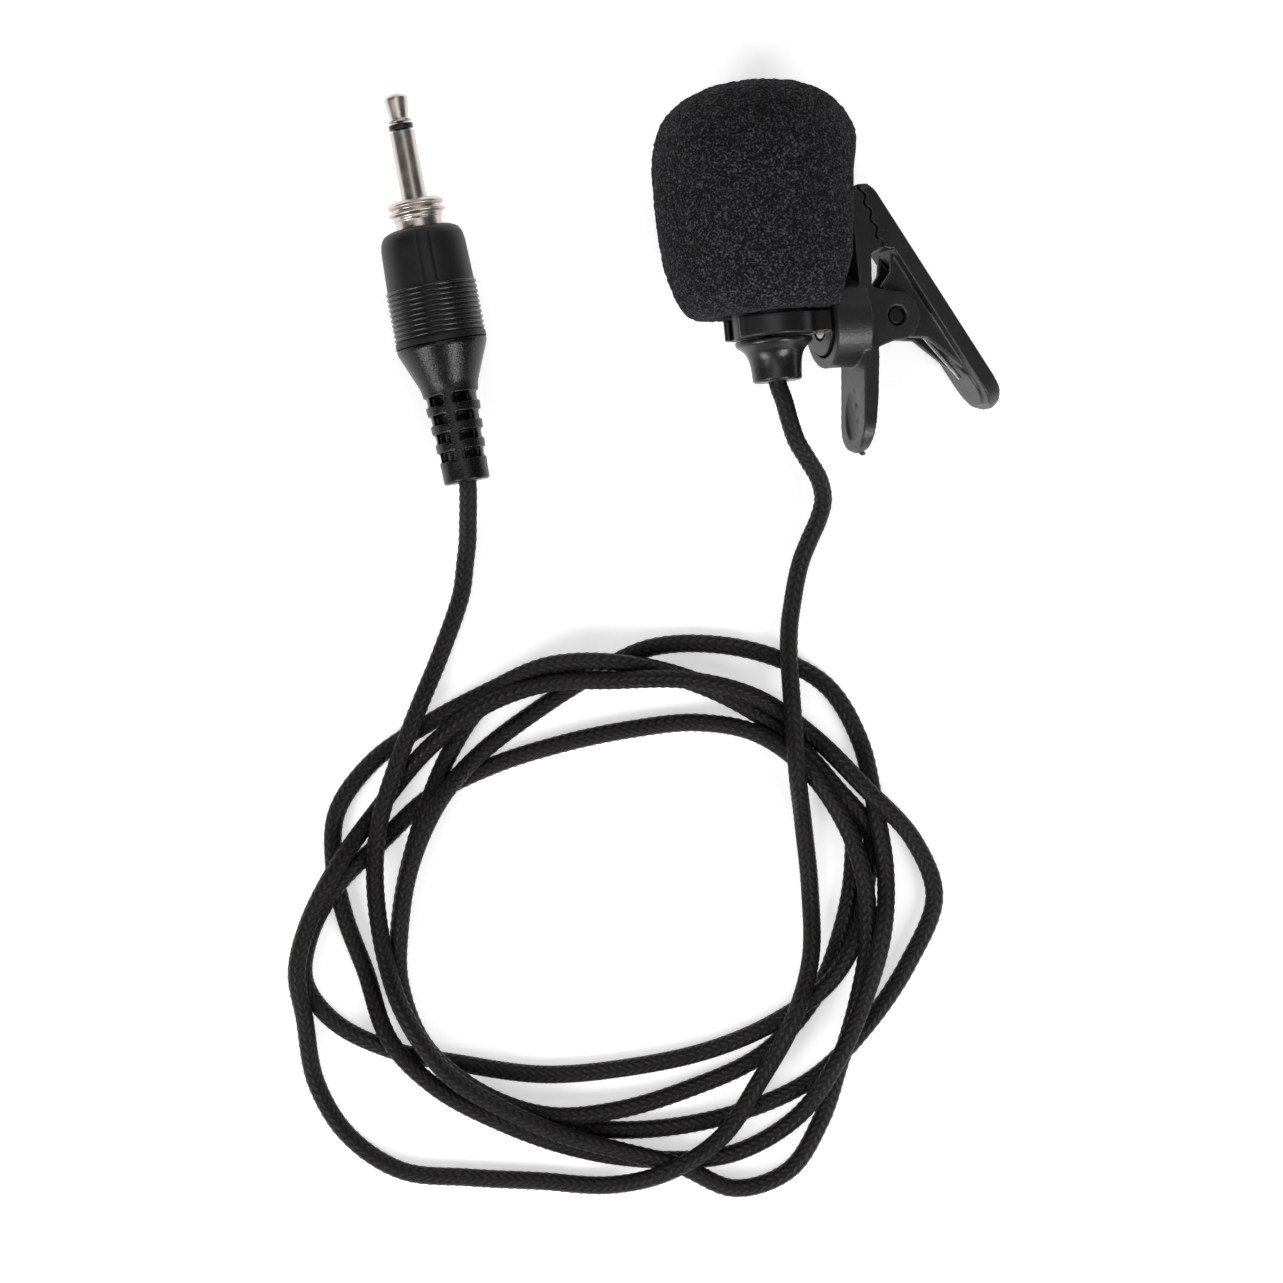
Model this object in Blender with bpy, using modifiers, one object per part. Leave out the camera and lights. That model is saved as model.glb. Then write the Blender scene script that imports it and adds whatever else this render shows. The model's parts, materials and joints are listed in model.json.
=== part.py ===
"""Lavalier microphone: foam-covered electret capsule, snap-on tie clip, braided lead
and a locking 3.5 mm plug. The lead lies in loose loops on the surface below.

Units are millimetres in the outlines and metres in the scene. The world's +Z is up and
z = 0 is the surface that the foam, the clip, the plug and the lead lie on.
"""

import math

import bmesh
import bpy
from mathutils import Matrix, Vector

MM = 0.001
GAP = 0.3                       # air left between touching pieces
RUNNING = 0.08                  # radial clearance of a shaft in its hole

# --- Where things lie -------------------------------------------------------------
MIC_CENTRE = (-7.68, -8.42, 14.6)   # centre of the holder ring
MIC_LEAN = math.radians(5.7)        # the microphone leans to the left of +Y
CLIP_ROLL = math.radians(19.8)      # the clip side is rolled down to the surface
PLUG_END = (-49.98, -29.32, 6.5)    # lead end of the plug
PLUG_LEAN = math.radians(10.6)

# --- Microphone, measured along its axis from the holder ring ---------------------
BODY_RADIUS = 5.5
BODY_WALL = 0.5
BODY_REAR, BODY_FRONT = -1.3, 17.0
GRILLE_FRONT = 21.4
FOAM_REAR, FOAM_FRONT = 2.1, 33.9
FOAM_RADIUS = 14.6
RING_REAR, RING_FRONT = -1.3, 1.7
RING_INNER, RING_OUTER = 5.65, 6.5
RING_MOUTH = math.radians(28.0)     # half of the ring's open mouth
BOOT_END = -7.5
CORD_RADIUS = 1.2

# --- Clip: x away from the microphone's axis, y along it --------------------------
CLIP_HALF = 4.4                 # half of the clip's width
CUP_RADIUS, CUP_FACE = 6.2, 7.3
HUB_RADIUS = 4.4
BACK_FACE = 11.7                # face of the base jaw that the cup stands on
JAW_REACH = 20.4                # the jaws swing inside this radius about the swivel
PIN = (16.95, 0.05)
PIN_RADIUS = 1.05
EAR_RADIUS = 3.4
JAW_SLOPE = math.radians(29.4)  # the front jaw's slope against the base jaw
TOOTH_LOW, TOOTH_HIGH = (15.7, 9.6), (13.1, 18.6)
TOOTH_HEIGHT, TEETH = 0.28, 4
SPRING_RADIUS, WIRE_RADIUS, COILS = 2.1, 0.3, 3

# --- Plug, measured from its lead end ----------------------------------------------
RELIEF_TOP = 13.3
CONE_TOP = 19.4
GRIP_TOP = 36.0
COLLAR_TOP = 39.9
SLEEVE_TOP = 49.7
BAND_TOP = 50.7
PLUG_LENGTH = 55.2
JACK_RADIUS = 1.75
GRIP_RADIUS = 6.4
GROOVES, GROOVE_PITCH, GROOVE_DEPTH = 10, 0.72, 0.22

# The lead's centre line, from the plug to the microphone (x, y, z).
LEAD = [
    (-49.92, -29.62, 6.5), (-49.9, -31.8, 5.6), (-50, -34.6, 4.2), (-50.1, -37.4, 2.9),
    (-50.5, -40.8, 1.8), (-51.1, -45.1, 1.3), (-54, -53.5, 1.4), (-57, -61, 3.1), (-60, -69, 3.8),
    (-62.5, -77.5, 3.8), (-63, -85.5, 4.1), (-61.5, -96, 4.8), (-58.5, -104, 7.4), (-53, -111.5, 7.9),
    (-45.5, -116.5, 7), (-37, -120.5, 5), (-28.5, -123, 3.6), (-20.5, -125, 3.6), (-12.5, -128.5, 1.4),
    (-5, -126, 1.2), (-0.5, -119, 1.4), (2, -111, 3.4), (4.5, -102.5, 3.1), (6, -93.5, 4.3),
    (5.5, -85, 4.3), (3, -77.5, 4.3), (-2.5, -69.5, 5.8), (-9.5, -64.5, 4.6), (-18, -63, 1.4),
    (-27.5, -64, 1.2), (-37, -66, 1.2), (-46.5, -69, 1.2), (-55.5, -73.5, 1.2), (-62, -79.5, 1.4),
    (-68.5, -86, 3.4), (-72.5, -93.5, 1.4), (-73, -99.5, 1.2), (-69, -105, 1.2), (-61, -109, 1.2),
    (-51, -111, 1.2), (-39.5, -112.5, 1.2), (-27.5, -111.5, 1.2), (-16, -109, 1.4), (-7, -105, 2.9),
    (0.5, -99.5, 3.6), (4.5, -93, 2.9), (6, -85.5, 1.4), (6.5, -78.5, 1.9), (1.5, -72, 3.6),
    (-4.5, -65.5, 3.6), (-12.5, -60, 3.6), (-21, -56.5, 4.1), (-30, -54.5, 5.8), (-39, -55, 4.6),
    (-47, -58.5, 2.9), (-55.5, -63, 1.4), (-63.5, -68.5, 1.2), (-68.5, -75.5, 1.2), (-69, -82.5, 1.2),
    (-67.5, -90, 1.2), (-64.5, -98, 1.4), (-61, -107.5, 3.4), (-54.5, -114, 4.3), (-45, -119, 4.8),
    (-34.5, -123, 1.4), (-23, -124.5, 1.2), (-12.5, -123.5, 1.2), (-4, -118.5, 2.2), (1.5, -110.5, 6),
    (5.5, -101.5, 5.5), (8, -92.5, 5.8), (8.5, -84, 3.8), (7, -74.5, 3.6), (5, -65.5, 1.4),
    (0.5, -58, 1.2), (-6.5, -54, 1.2), (-15.5, -52, 1.2), (-24.5, -52.5, 1.2), (-32, -56, 1.2),
    (-40, -61, 1.2), (-48.5, -67.5, 2.6), (-54, -74, 5.5), (-58, -83, 4.6), (-59.5, -91.5, 3.8),
    (-59.5, -99.5, 3.6), (-56, -108, 5.5), (-48.5, -114.5, 4.6), (-39, -118, 3.4), (-29.5, -117.5, 2.2),
    (-19, -114.5, 1.2), (-8.5, -109.5, 1.2), (-1, -101, 1.2), (2.5, -92, 1.2), (4, -83.5, 1.2),
    (3.5, -76, 1.2), (-2.5, -68, 1.2), (-11, -60.5, 1.2), (-21.5, -56, 1.9), (-31.5, -54.5, 3.6),
    (-40, -56, 1.4), (-48, -60.5, 1.2), (-52.5, -67, 2.4), (-56, -75.5, 3.6), (-59, -86, 1.4),
    (-60, -95, 1.2), (-60, -101.5, 1.2), (-54.5, -110.5, 3.4), (-45, -117, 1.4), (-33.5, -120, 1.2),
    (-22.5, -120, 1.2), (-11, -117.5, 1.2), (-1.5, -113, 1.2), (6, -105.5, 1.2), (12, -96.5, 1.2),
    (15.5, -87.5, 1.4), (12.5, -79.5, 2.9), (5.5, -72, 6), (-1.5, -65, 2.9), (-9.5, -59.5, 5),
    (-19, -57, 6.5), (-29.5, -57, 6.7), (-39, -57.5, 5), (-47.5, -60.5, 4.3), (-55.5, -66.5, 2.9),
    (-63, -75.5, 1.2), (-68.5, -83.5, 5), (-72.5, -91.5, 4.3), (-74, -98, 3.8), (-73, -104.5, 2.6),
    (-71.5, -113.5, 1.2), (-67, -121, 1.2), (-59.5, -126, 1.2), (-50, -127, 1.2), (-40, -127.5, 1.2),
    (-30, -128, 1.7), (-21.5, -125.5, 5.5), (-14.5, -121, 4.3), (-9, -113, 3.4), (-4.5, -104.5, 5.8),
    (-2, -96, 3.8), (-2, -86.5, 1.4), (-3, -77, 2.2), (-4, -70, 7.7), (-4.5, -62.5, 6.2),
    (-5, -54, 3.6), (-5, -51.4, 2.4), (-4.8, -48.6, 1.4), (-4.4, -45.8, 1.2), (-3.9, -42.9, 1.2),
    (-3.2, -40.1, 1.4), (-2.1, -37.3, 1.9), (-0.9, -34.5, 2.9), (-0.3, -31.8, 4.6), (-0.9, -29.1, 6.9),
    (-2.6, -26.4, 9.6), (-4.3, -23.8, 12), (-5.3, -21.1, 13.6), (-6.1, -18.4, 14.4),
    (-6.91, -16.18, 14.6),
]
LEAD_POINTS = 80
LEAD_CROWDING = 45.0            # how strongly bends draw the points together, in mm

# --- Colours (linear), roughness and metallic value -------------------------------
FINISHES = {
    "foam": ((0.012, 0.012, 0.013), 0.95, 0.0),
    "black_plastic": ((0.016, 0.016, 0.017), 0.55, 0.0),
    "gloss_plastic": ((0.010, 0.010, 0.011), 0.25, 0.0),
    "soft_pvc": ((0.010, 0.010, 0.010), 0.45, 0.0),
    "nickel": ((0.62, 0.57, 0.52), 0.28, 1.0),
    "aluminium": ((0.60, 0.60, 0.61), 0.35, 1.0),
    "spring_steel": ((0.55, 0.55, 0.54), 0.25, 1.0),
    "rubber": ((0.02, 0.02, 0.02), 0.80, 0.0),
    "felt": ((0.03, 0.03, 0.03), 0.95, 0.0),
    "board": ((0.03, 0.14, 0.05), 0.50, 0.0),
    "wire": ((0.35, 0.03, 0.02), 0.50, 0.0),
    "braid": ((0.014, 0.013, 0.012), 0.80, 0.0),
}


# --- Building blocks ----------------------------------------------------------------
def clear_scene():
    for obj in list(bpy.data.objects):
        bpy.data.objects.remove(obj, do_unlink=True)
    for group in list(bpy.data.collections):
        bpy.data.collections.remove(group)


def make_collection(name):
    group = bpy.data.collections.new(name)
    bpy.context.scene.collection.children.link(group)
    return group


def make_material(name, colour, roughness, metallic):
    material = bpy.data.materials.new(name)
    material.use_nodes = True
    shader = material.node_tree.nodes["Principled BSDF"]
    shader.inputs["Base Color"].default_value = (*colour, 1.0)
    shader.inputs["Roughness"].default_value = roughness
    shader.inputs["Metallic"].default_value = metallic
    return material


def make_empty(name, origin, columns, parent=None):
    """An empty at origin (mm) whose local axes are the three columns."""
    empty = bpy.data.objects.new(name, None)
    empty.empty_display_size = 0.004
    PARTS.objects.link(empty)
    turn = Matrix(columns).transposed().to_4x4()
    empty.matrix_local = Matrix.Translation(Vector(origin) * MM) @ turn
    empty.parent = parent
    return empty


def add_part(name, mesh, finish, parent):
    """Name the mesh's object, give it its own material and hang it on its frame."""
    part = bpy.data.objects.new(name, mesh)
    PARTS.objects.link(part)
    part.parent = parent
    mesh.materials.clear()
    mesh.materials.append(make_material(name, *FINISHES[finish]))
    mesh.shade_smooth()
    mesh.set_sharp_from_angle(angle=math.radians(35))
    return part


def turned(name, profile, finish, parent, steps=32):
    """A (radius, height) profile turned about local z; a closed loop makes a ring."""
    on_axis = profile[0][0] == 0.0
    count = len(profile)
    mesh = bpy.data.meshes.new(name)
    edges = [(i, i + 1) for i in range(count - 1)]
    if not on_axis:
        edges.append((count - 1, 0))
    mesh.from_pydata([(r * MM, 0.0, z * MM) for r, z in profile], edges, [])
    part = add_part(name, mesh, finish, parent)
    screw = part.modifiers.new("turn", "SCREW")
    screw.steps = steps
    screw.render_steps = steps
    screw.use_merge_vertices = True
    screw.merge_threshold = 0.000001
    screw.use_normal_calculate = False
    return part


def curve_to_part(name, curve, finish, parent, matrix=None):
    """Turn a curve with caps into one closed mesh under its parent."""
    guide = bpy.data.objects.new(name + "_curve", curve)
    PARTS.objects.link(guide)
    if matrix is not None:
        guide.matrix_world = matrix
    bpy.context.view_layer.update()
    evaluated = guide.evaluated_get(bpy.context.evaluated_depsgraph_get())
    mesh = bpy.data.meshes.new_from_object(evaluated)
    mesh.transform(guide.matrix_world)
    shape = bmesh.new()
    shape.from_mesh(mesh)
    bmesh.ops.remove_doubles(shape, verts=shape.verts, dist=0.000001)
    bmesh.ops.recalc_face_normals(shape, faces=shape.faces)
    shape.to_mesh(mesh)
    shape.free()
    bpy.data.objects.remove(guide)
    bpy.data.curves.remove(curve)
    return add_part(name, mesh, finish, parent)


def plate(name, outline, thickness, finish, parent, matrix=None):
    """A flat outline in the frame's xy plane, as thick as given about z = 0."""
    curve = bpy.data.curves.new(name, "CURVE")
    curve.dimensions = "2D"
    curve.fill_mode = "BOTH"
    curve.extrude = thickness / 2 * MM
    spline = curve.splines.new("POLY")
    spline.points.add(len(outline) - 1)
    for point, (x, y) in zip(spline.points, outline):
        point.co = (x * MM, y * MM, 0.0, 1.0)
    spline.use_cyclic_u = True
    return curve_to_part(name, curve, finish, parent, matrix)


def wire(name, path, radius, finish, parent, resolution=2):
    """A round wire with closed ends along the points of its path."""
    curve = bpy.data.curves.new(name, "CURVE")
    curve.dimensions = "3D"
    curve.bevel_depth = radius * MM
    curve.bevel_resolution = resolution
    curve.use_fill_caps = True
    spline = curve.splines.new("POLY")
    spline.points.add(len(path) - 1)
    for point, place in zip(spline.points, path):
        point.co = (*(Vector(place) * MM), 1.0)
    return curve_to_part(name, curve, finish, parent)


def combine(part, tool, operation):
    """Join, cut or intersect part with a hidden tool object."""
    for group in tool.users_collection:
        group.objects.unlink(tool)
    TOOLS.objects.link(tool)
    tool.hide_render = True
    tool.display_type = "WIRE"
    boolean = part.modifiers.new(tool.name, "BOOLEAN")
    boolean.operation = operation
    boolean.solver = "EXACT"
    boolean.object = tool


def rod_tool(name, radius, low, high, parent, axis="Z", centre=(0.0, 0.0), steps=32):
    """A plain cylinder used as a tool, from low to high along one local axis."""
    shape = bmesh.new()
    bmesh.ops.create_cone(
        shape, cap_ends=True, segments=steps, radius1=radius * MM, radius2=radius * MM,
        depth=(high - low) * MM)
    middle = (low + high) / 2
    a, b = centre
    if axis == "X":
        place = Matrix.Translation(Vector((middle, a, b)) * MM) @ Matrix.Rotation(math.pi / 2, 4, "Y")
    else:
        place = Matrix.Translation(Vector((a, b, middle)) * MM)
    bmesh.ops.transform(shape, matrix=place, verts=shape.verts)
    mesh = bpy.data.meshes.new(name)
    shape.to_mesh(mesh)
    shape.free()
    return add_part(name, mesh, "black_plastic", parent)


def box_tool(name, low, high, parent, turn=None):
    """A plain box used as a tool between two corners, optionally turned about the frame."""
    shape = bmesh.new()
    bmesh.ops.create_cube(shape, size=1.0)
    size = (Vector(high) - Vector(low)) * MM
    middle = (Vector(high) + Vector(low)) / 2 * MM
    bmesh.ops.scale(shape, vec=size, verts=shape.verts)
    bmesh.ops.translate(shape, vec=middle, verts=shape.verts)
    if turn is not None:
        bmesh.ops.transform(shape, matrix=turn, verts=shape.verts)
    mesh = bpy.data.meshes.new(name)
    shape.to_mesh(mesh)
    shape.free()
    return add_part(name, mesh, "black_plastic", parent)


def arc(centre, radius, start, end, steps):
    """Points on an arc between two angles in degrees."""
    cx, cy = centre
    points = []
    for i in range(steps + 1):
        angle = math.radians(start + (end - start) * i / steps)
        points.append((cx + radius * math.cos(angle), cy + radius * math.sin(angle)))
    return points


def paddle_outline(tail, nose, half, nose_radius):
    """Plan view of a jaw: a half-round tail at the handle and rounded corners at the tip."""
    points = arc((tail + half, 0.0), half, 90, 270, 16)
    points += arc((nose - nose_radius, -half + nose_radius), nose_radius, 270, 360, 5)
    points += arc((nose - nose_radius, half - nose_radius), nose_radius, 0, 90, 5)
    return points


def tooth_line(offset):
    """The wavy line where the jaws meet, moved sideways by offset; from low to high."""
    low, high = Vector(TOOTH_LOW), Vector(TOOTH_HIGH)
    along = (high - low).normalized()
    across = Vector((along.y, -along.x))
    points = []
    steps = 6 * TEETH
    for i in range(steps + 1):
        wave = TOOTH_HEIGHT * math.sin(2 * math.pi * TEETH * i / steps)
        points.append(tuple(low.lerp(high, i / steps) + across * (wave + offset)))
    return points


# --- Microphone -----------------------------------------------------------------------
def build_microphone(mic, swivel):
    inner = BODY_RADIUS - BODY_WALL
    turned("mic_housing", [
        (BODY_RADIUS, BODY_FRONT), (BODY_RADIUS, BODY_REAR), (1.7, BODY_REAR),
        (1.7, BODY_REAR + 0.8), (inner, BODY_REAR + 0.8), (inner, BODY_FRONT),
    ], "black_plastic", mic)

    grille_rear = BODY_FRONT + GAP
    grille = turned("capsule_grille", [
        (0.0, GRILLE_FRONT), (BODY_RADIUS - 0.6, GRILLE_FRONT), (BODY_RADIUS, GRILLE_FRONT - 0.6),
        (BODY_RADIUS, grille_rear), (inner, grille_rear), (inner, GRILLE_FRONT - 0.6),
        (0.0, GRILLE_FRONT - 0.6),
    ], "black_plastic", mic)
    for i in range(6):
        angle = math.radians(60 * i)
        hole = rod_tool("grille_hole_%d" % i, 0.8, GRILLE_FRONT - 1.2, GRILLE_FRONT + 0.5, mic,
                        centre=(2.8 * math.cos(angle), 2.8 * math.sin(angle)), steps=12)
        combine(grille, hole, "DIFFERENCE")

    turned("dust_felt", [(0.0, 20.3), (4.6, 20.3), (4.6, 19.5), (0.0, 19.5)], "felt", mic)
    turned("electret_capsule", [
        (0.0, 19.0), (1.2, 19.0), (1.2, 19.2), (3.8, 19.2), (4.0, 19.0), (4.0, 12.7), (0.0, 12.7),
    ], "aluminium", mic)
    turned("rubber_sleeve", [(4.7, 19.0), (4.7, 12.9), (4.3, 12.9), (4.3, 19.0)], "rubber", mic)
    turned("capsule_board", [(0.0, 12.4), (3.9, 12.4), (3.9, 11.6), (0.0, 11.6)], "board", mic)
    turned("cable_clamp", [(2.3, 3.2), (2.3, 0.2), (1.3, 0.2), (1.3, 3.2)], "nickel", mic)
    wire("signal_wire", [(0.55, 0, -3.0), (0.55, 0, 3.6), (1.3, 0.3, 6.5), (1.8, 0, 11.3)],
         0.35, "wire", mic)
    wire("ground_wire", [(-0.55, 0, -3.0), (-0.55, 0, 3.6), (-1.4, -0.3, 6.5), (-1.8, 0, 11.3)],
         0.35, "black_plastic", mic)

    boot_top = BODY_REAR - GAP
    turned("rear_boot", [
        (5.4, boot_top), (5.3, boot_top - 0.5), (4.6, boot_top - 1.1), (3.95, boot_top - 1.9),
        (3.6, boot_top - 2.9), (3.45, boot_top - 4.4), (3.35, BOOT_END + 0.4), (3.05, BOOT_END),
        (1.5, BOOT_END), (1.5, boot_top),
    ], "gloss_plastic", mic)

    ring = turned("holder_ring", [
        (RING_OUTER, RING_FRONT), (RING_OUTER, RING_REAR), (RING_INNER, RING_REAR),
        (RING_INNER, RING_FRONT),
    ], "black_plastic", mic, steps=48)
    reach = 9.0
    mouth = plate("ring_mouth", [
        (0.0, 0.0), (-reach, reach * math.tan(RING_MOUTH)), (-reach, -reach * math.tan(RING_MOUTH)),
    ], 6.0, "black_plastic", mic)
    combine(ring, mouth, "DIFFERENCE")
    arm = box_tool("ring_arm", (6.0, -3.0, RING_REAR + 0.1), (7.4, 3.0, RING_FRONT - 0.1), mic)
    combine(ring, arm, "UNION")
    hub = rod_tool("ring_hub", HUB_RADIUS, 6.95, CUP_FACE + 1.6, swivel, axis="X")
    combine(ring, hub, "UNION")
    for name, radius, low, high in (("hub_bore", 1.2, 6.8, 10.0), ("hub_counterbore", 2.3, 6.8, 7.9)):
        combine(ring, rod_tool(name, radius, low, high, swivel, axis="X"), "DIFFERENCE")

    bore = BODY_RADIUS + GAP
    shoulder = [
        (0.0, FOAM_FRONT), (4.0, FOAM_FRONT - 0.1), (7.2, FOAM_FRONT - 0.8), (9.9, FOAM_FRONT - 2.1),
        (11.8, FOAM_FRONT - 3.7), (13.2, FOAM_FRONT - 5.9), (14.0, FOAM_FRONT - 8.3),
        (14.45, FOAM_FRONT - 11.3), (FOAM_RADIUS, FOAM_FRONT - 14.3), (FOAM_RADIUS, FOAM_REAR + 14.0),
        (14.2, FOAM_REAR + 8.4), (13.5, FOAM_REAR + 4.9), (12.4, FOAM_REAR + 2.0),
        (11.5, FOAM_REAR + 0.7), (10.3, FOAM_REAR), (bore, FOAM_REAR), (bore, GRILLE_FRONT + GAP),
        (0.0, GRILLE_FRONT + GAP),
    ]
    foam = turned("foam_windscreen", shoulder, "foam", mic, steps=40)
    jaw_dent = rod_tool("jaw_dent", JAW_REACH, BACK_FACE - GAP, 20.0, swivel, axis="X", steps=64)
    cup_dent = rod_tool("cup_dent", CUP_RADIUS + 0.6, 6.6, 20.0, swivel, axis="X")
    combine(foam, jaw_dent, "DIFFERENCE")
    combine(foam, cup_dent, "DIFFERENCE")


# --- Clip -------------------------------------------------------------------------------
def build_base_jaw(swivel):
    outline = tooth_line(-GAP / 2) + [
        (12.5, 18.3), (12.0, 16.8), (BACK_FACE, 13.5), (BACK_FACE, -2.6), (10.95, -10.0), (10.2, -16.6),
        (10.35, -17.6), (10.95, -18.3), (11.65, -17.7), (12.0, -16.1), (13.0, -10.7), (13.75, -4.8),
        (13.65, 0.0), (13.6, 4.4), (14.0, 8.9),
    ]
    jaw = plate("base_jaw", outline, 2 * CLIP_HALF, "black_plastic", swivel)
    along_x = Matrix(((0, 0, 1, 0), (1, 0, 0, 0), (0, 1, 0, 0), (0, 0, 0, 1)))
    plan = plate("base_plan", paddle_outline(-18.3, 18.9, CLIP_HALF - 0.02, 1.5), 60.0,
                 "black_plastic", swivel, along_x)
    combine(jaw, plan, "INTERSECT")
    ear = [(12.9, 4.6), (15.4, 3.8)] + arc(PIN, EAR_RADIUS, 90, -100, 14) + [(12.9, -4.3)]
    for side in (-1, 1):
        middle = side * (CLIP_HALF - 0.65)
        lift = Matrix.Translation((0, 0, middle * MM))
        combine(jaw, plate("base_ear_%d" % (side + 2), ear, 1.2, "black_plastic", swivel, lift), "UNION")
    combine(jaw, rod_tool("cup_wall", CUP_RADIUS, CUP_FACE, BACK_FACE + 0.8, swivel, axis="X"), "UNION")
    recess = rod_tool("cup_recess", HUB_RADIUS + GAP, 5.0, CUP_FACE + 1.9, swivel, axis="X")
    combine(jaw, recess, "DIFFERENCE")
    combine(jaw, rod_tool("rivet_hole", 1.2, 5.0, 20.0, swivel, axis="X"), "DIFFERENCE")
    combine(jaw, rod_tool("rivet_seat", 2.3, 12.7, 20.0, swivel, axis="X"), "DIFFERENCE")
    combine(jaw, rod_tool("ear_hole", PIN_RADIUS + RUNNING, -6.0, 6.0, swivel, centre=PIN), "DIFFERENCE")


def build_front_jaw(hinge):
    """The front jaw in the hinge's frame, where the pin is at the origin."""
    out = Vector((math.cos(JAW_SLOPE), math.sin(JAW_SLOPE)))      # away from the base jaw
    up = Vector((-math.sin(JAW_SLOPE), math.cos(JAW_SLOPE)))      # along the jaw to its tip

    def slanted(points):
        return [tuple(out * u + up * v) for u, v in points]

    pin = Vector(PIN)
    teeth = [tuple(Vector(p) - pin) for p in tooth_line(GAP / 2)]
    outer_face, inner_face = 7.35, 5.0
    body = slanted([
        (6.9, 17.4), (outer_face, 15.9), (outer_face, -16.6), (6.9, -18.2), (6.2, -19.0),
        (5.5, -18.8), (inner_face, -17.7), (inner_face, 7.9), (4.4, 8.2),
    ])
    jaw = plate("front_jaw", list(reversed(teeth)) + list(reversed(body)), 2 * CLIP_HALF,
                "black_plastic", hinge)
    across = Matrix((
        (up.x, 0, out.x, 0), (up.y, 0, out.y, 0), (0, 1, 0, 0), (0, 0, 0, 1)))
    plan = plate("front_plan", paddle_outline(-19.0, 18.1, CLIP_HALF - 0.02, 1.5), 60.0,
                 "black_plastic", hinge, across)
    combine(jaw, plan, "INTERSECT")
    hub = arc((0, 0), 2.85, 100, 250, 12)
    web = slanted([(5.6, 8.0), (3.4, 5.2), (1.1, 4.4)] + hub + [(2.6, -5.2), (5.6, -13.5)])
    for side in (-1, 1):
        lift = Matrix.Translation((0, 0, side * 2.3 * MM))
        combine(jaw, plate("front_web_%d" % (side + 2), web, 1.0, "black_plastic", hinge, lift), "UNION")
    combine(jaw, rod_tool("web_hole", PIN_RADIUS + RUNNING, -6.0, 6.0, hinge), "DIFFERENCE")


def build_clip_metal(swivel, hinge):
    """The swivel's rivet, the hinge pin and the torsion spring round it."""
    spin_to_x = Matrix.Rotation(math.pi / 2, 4, "Y")
    rivet = turned("swivel_rivet", [
        (0.0, 13.5), (2.0, 13.5), (2.0, 13.0), (1.1, 13.0), (1.1, 7.6), (2.0, 7.6), (2.0, 7.0), (0.0, 7.0),
    ], "nickel", swivel, steps=24)
    rivet.matrix_local = spin_to_x

    shape = bmesh.new()
    bmesh.ops.create_cone(shape, cap_ends=True, segments=24, radius1=PIN_RADIUS * MM,
                          radius2=PIN_RADIUS * MM, depth=2 * (CLIP_HALF - 0.4) * MM)
    mesh = bpy.data.meshes.new("hinge_pin")
    shape.to_mesh(mesh)
    shape.free()
    add_part("hinge_pin", mesh, "black_plastic", hinge)

    # One leg lies against the base handle, the other in the front jaw's channel.
    start, stop = 181.0, 40.0 - 360.0 * COILS
    half_height = 1.15
    coil = []
    steps = 16 * COILS
    for i in range(steps + 1):
        angle = math.radians(start + (stop - start) * i / steps)
        height = -half_height + 2 * half_height * i / steps
        coil.append((SPRING_RADIUS * math.cos(angle), SPRING_RADIUS * math.sin(angle), height))
    path = [(-2.7, -8.0, -half_height)] + coil + [(9.9, -9.1, half_height)]
    wire("clip_spring", path, WIRE_RADIUS, "spring_steel", hinge)


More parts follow.
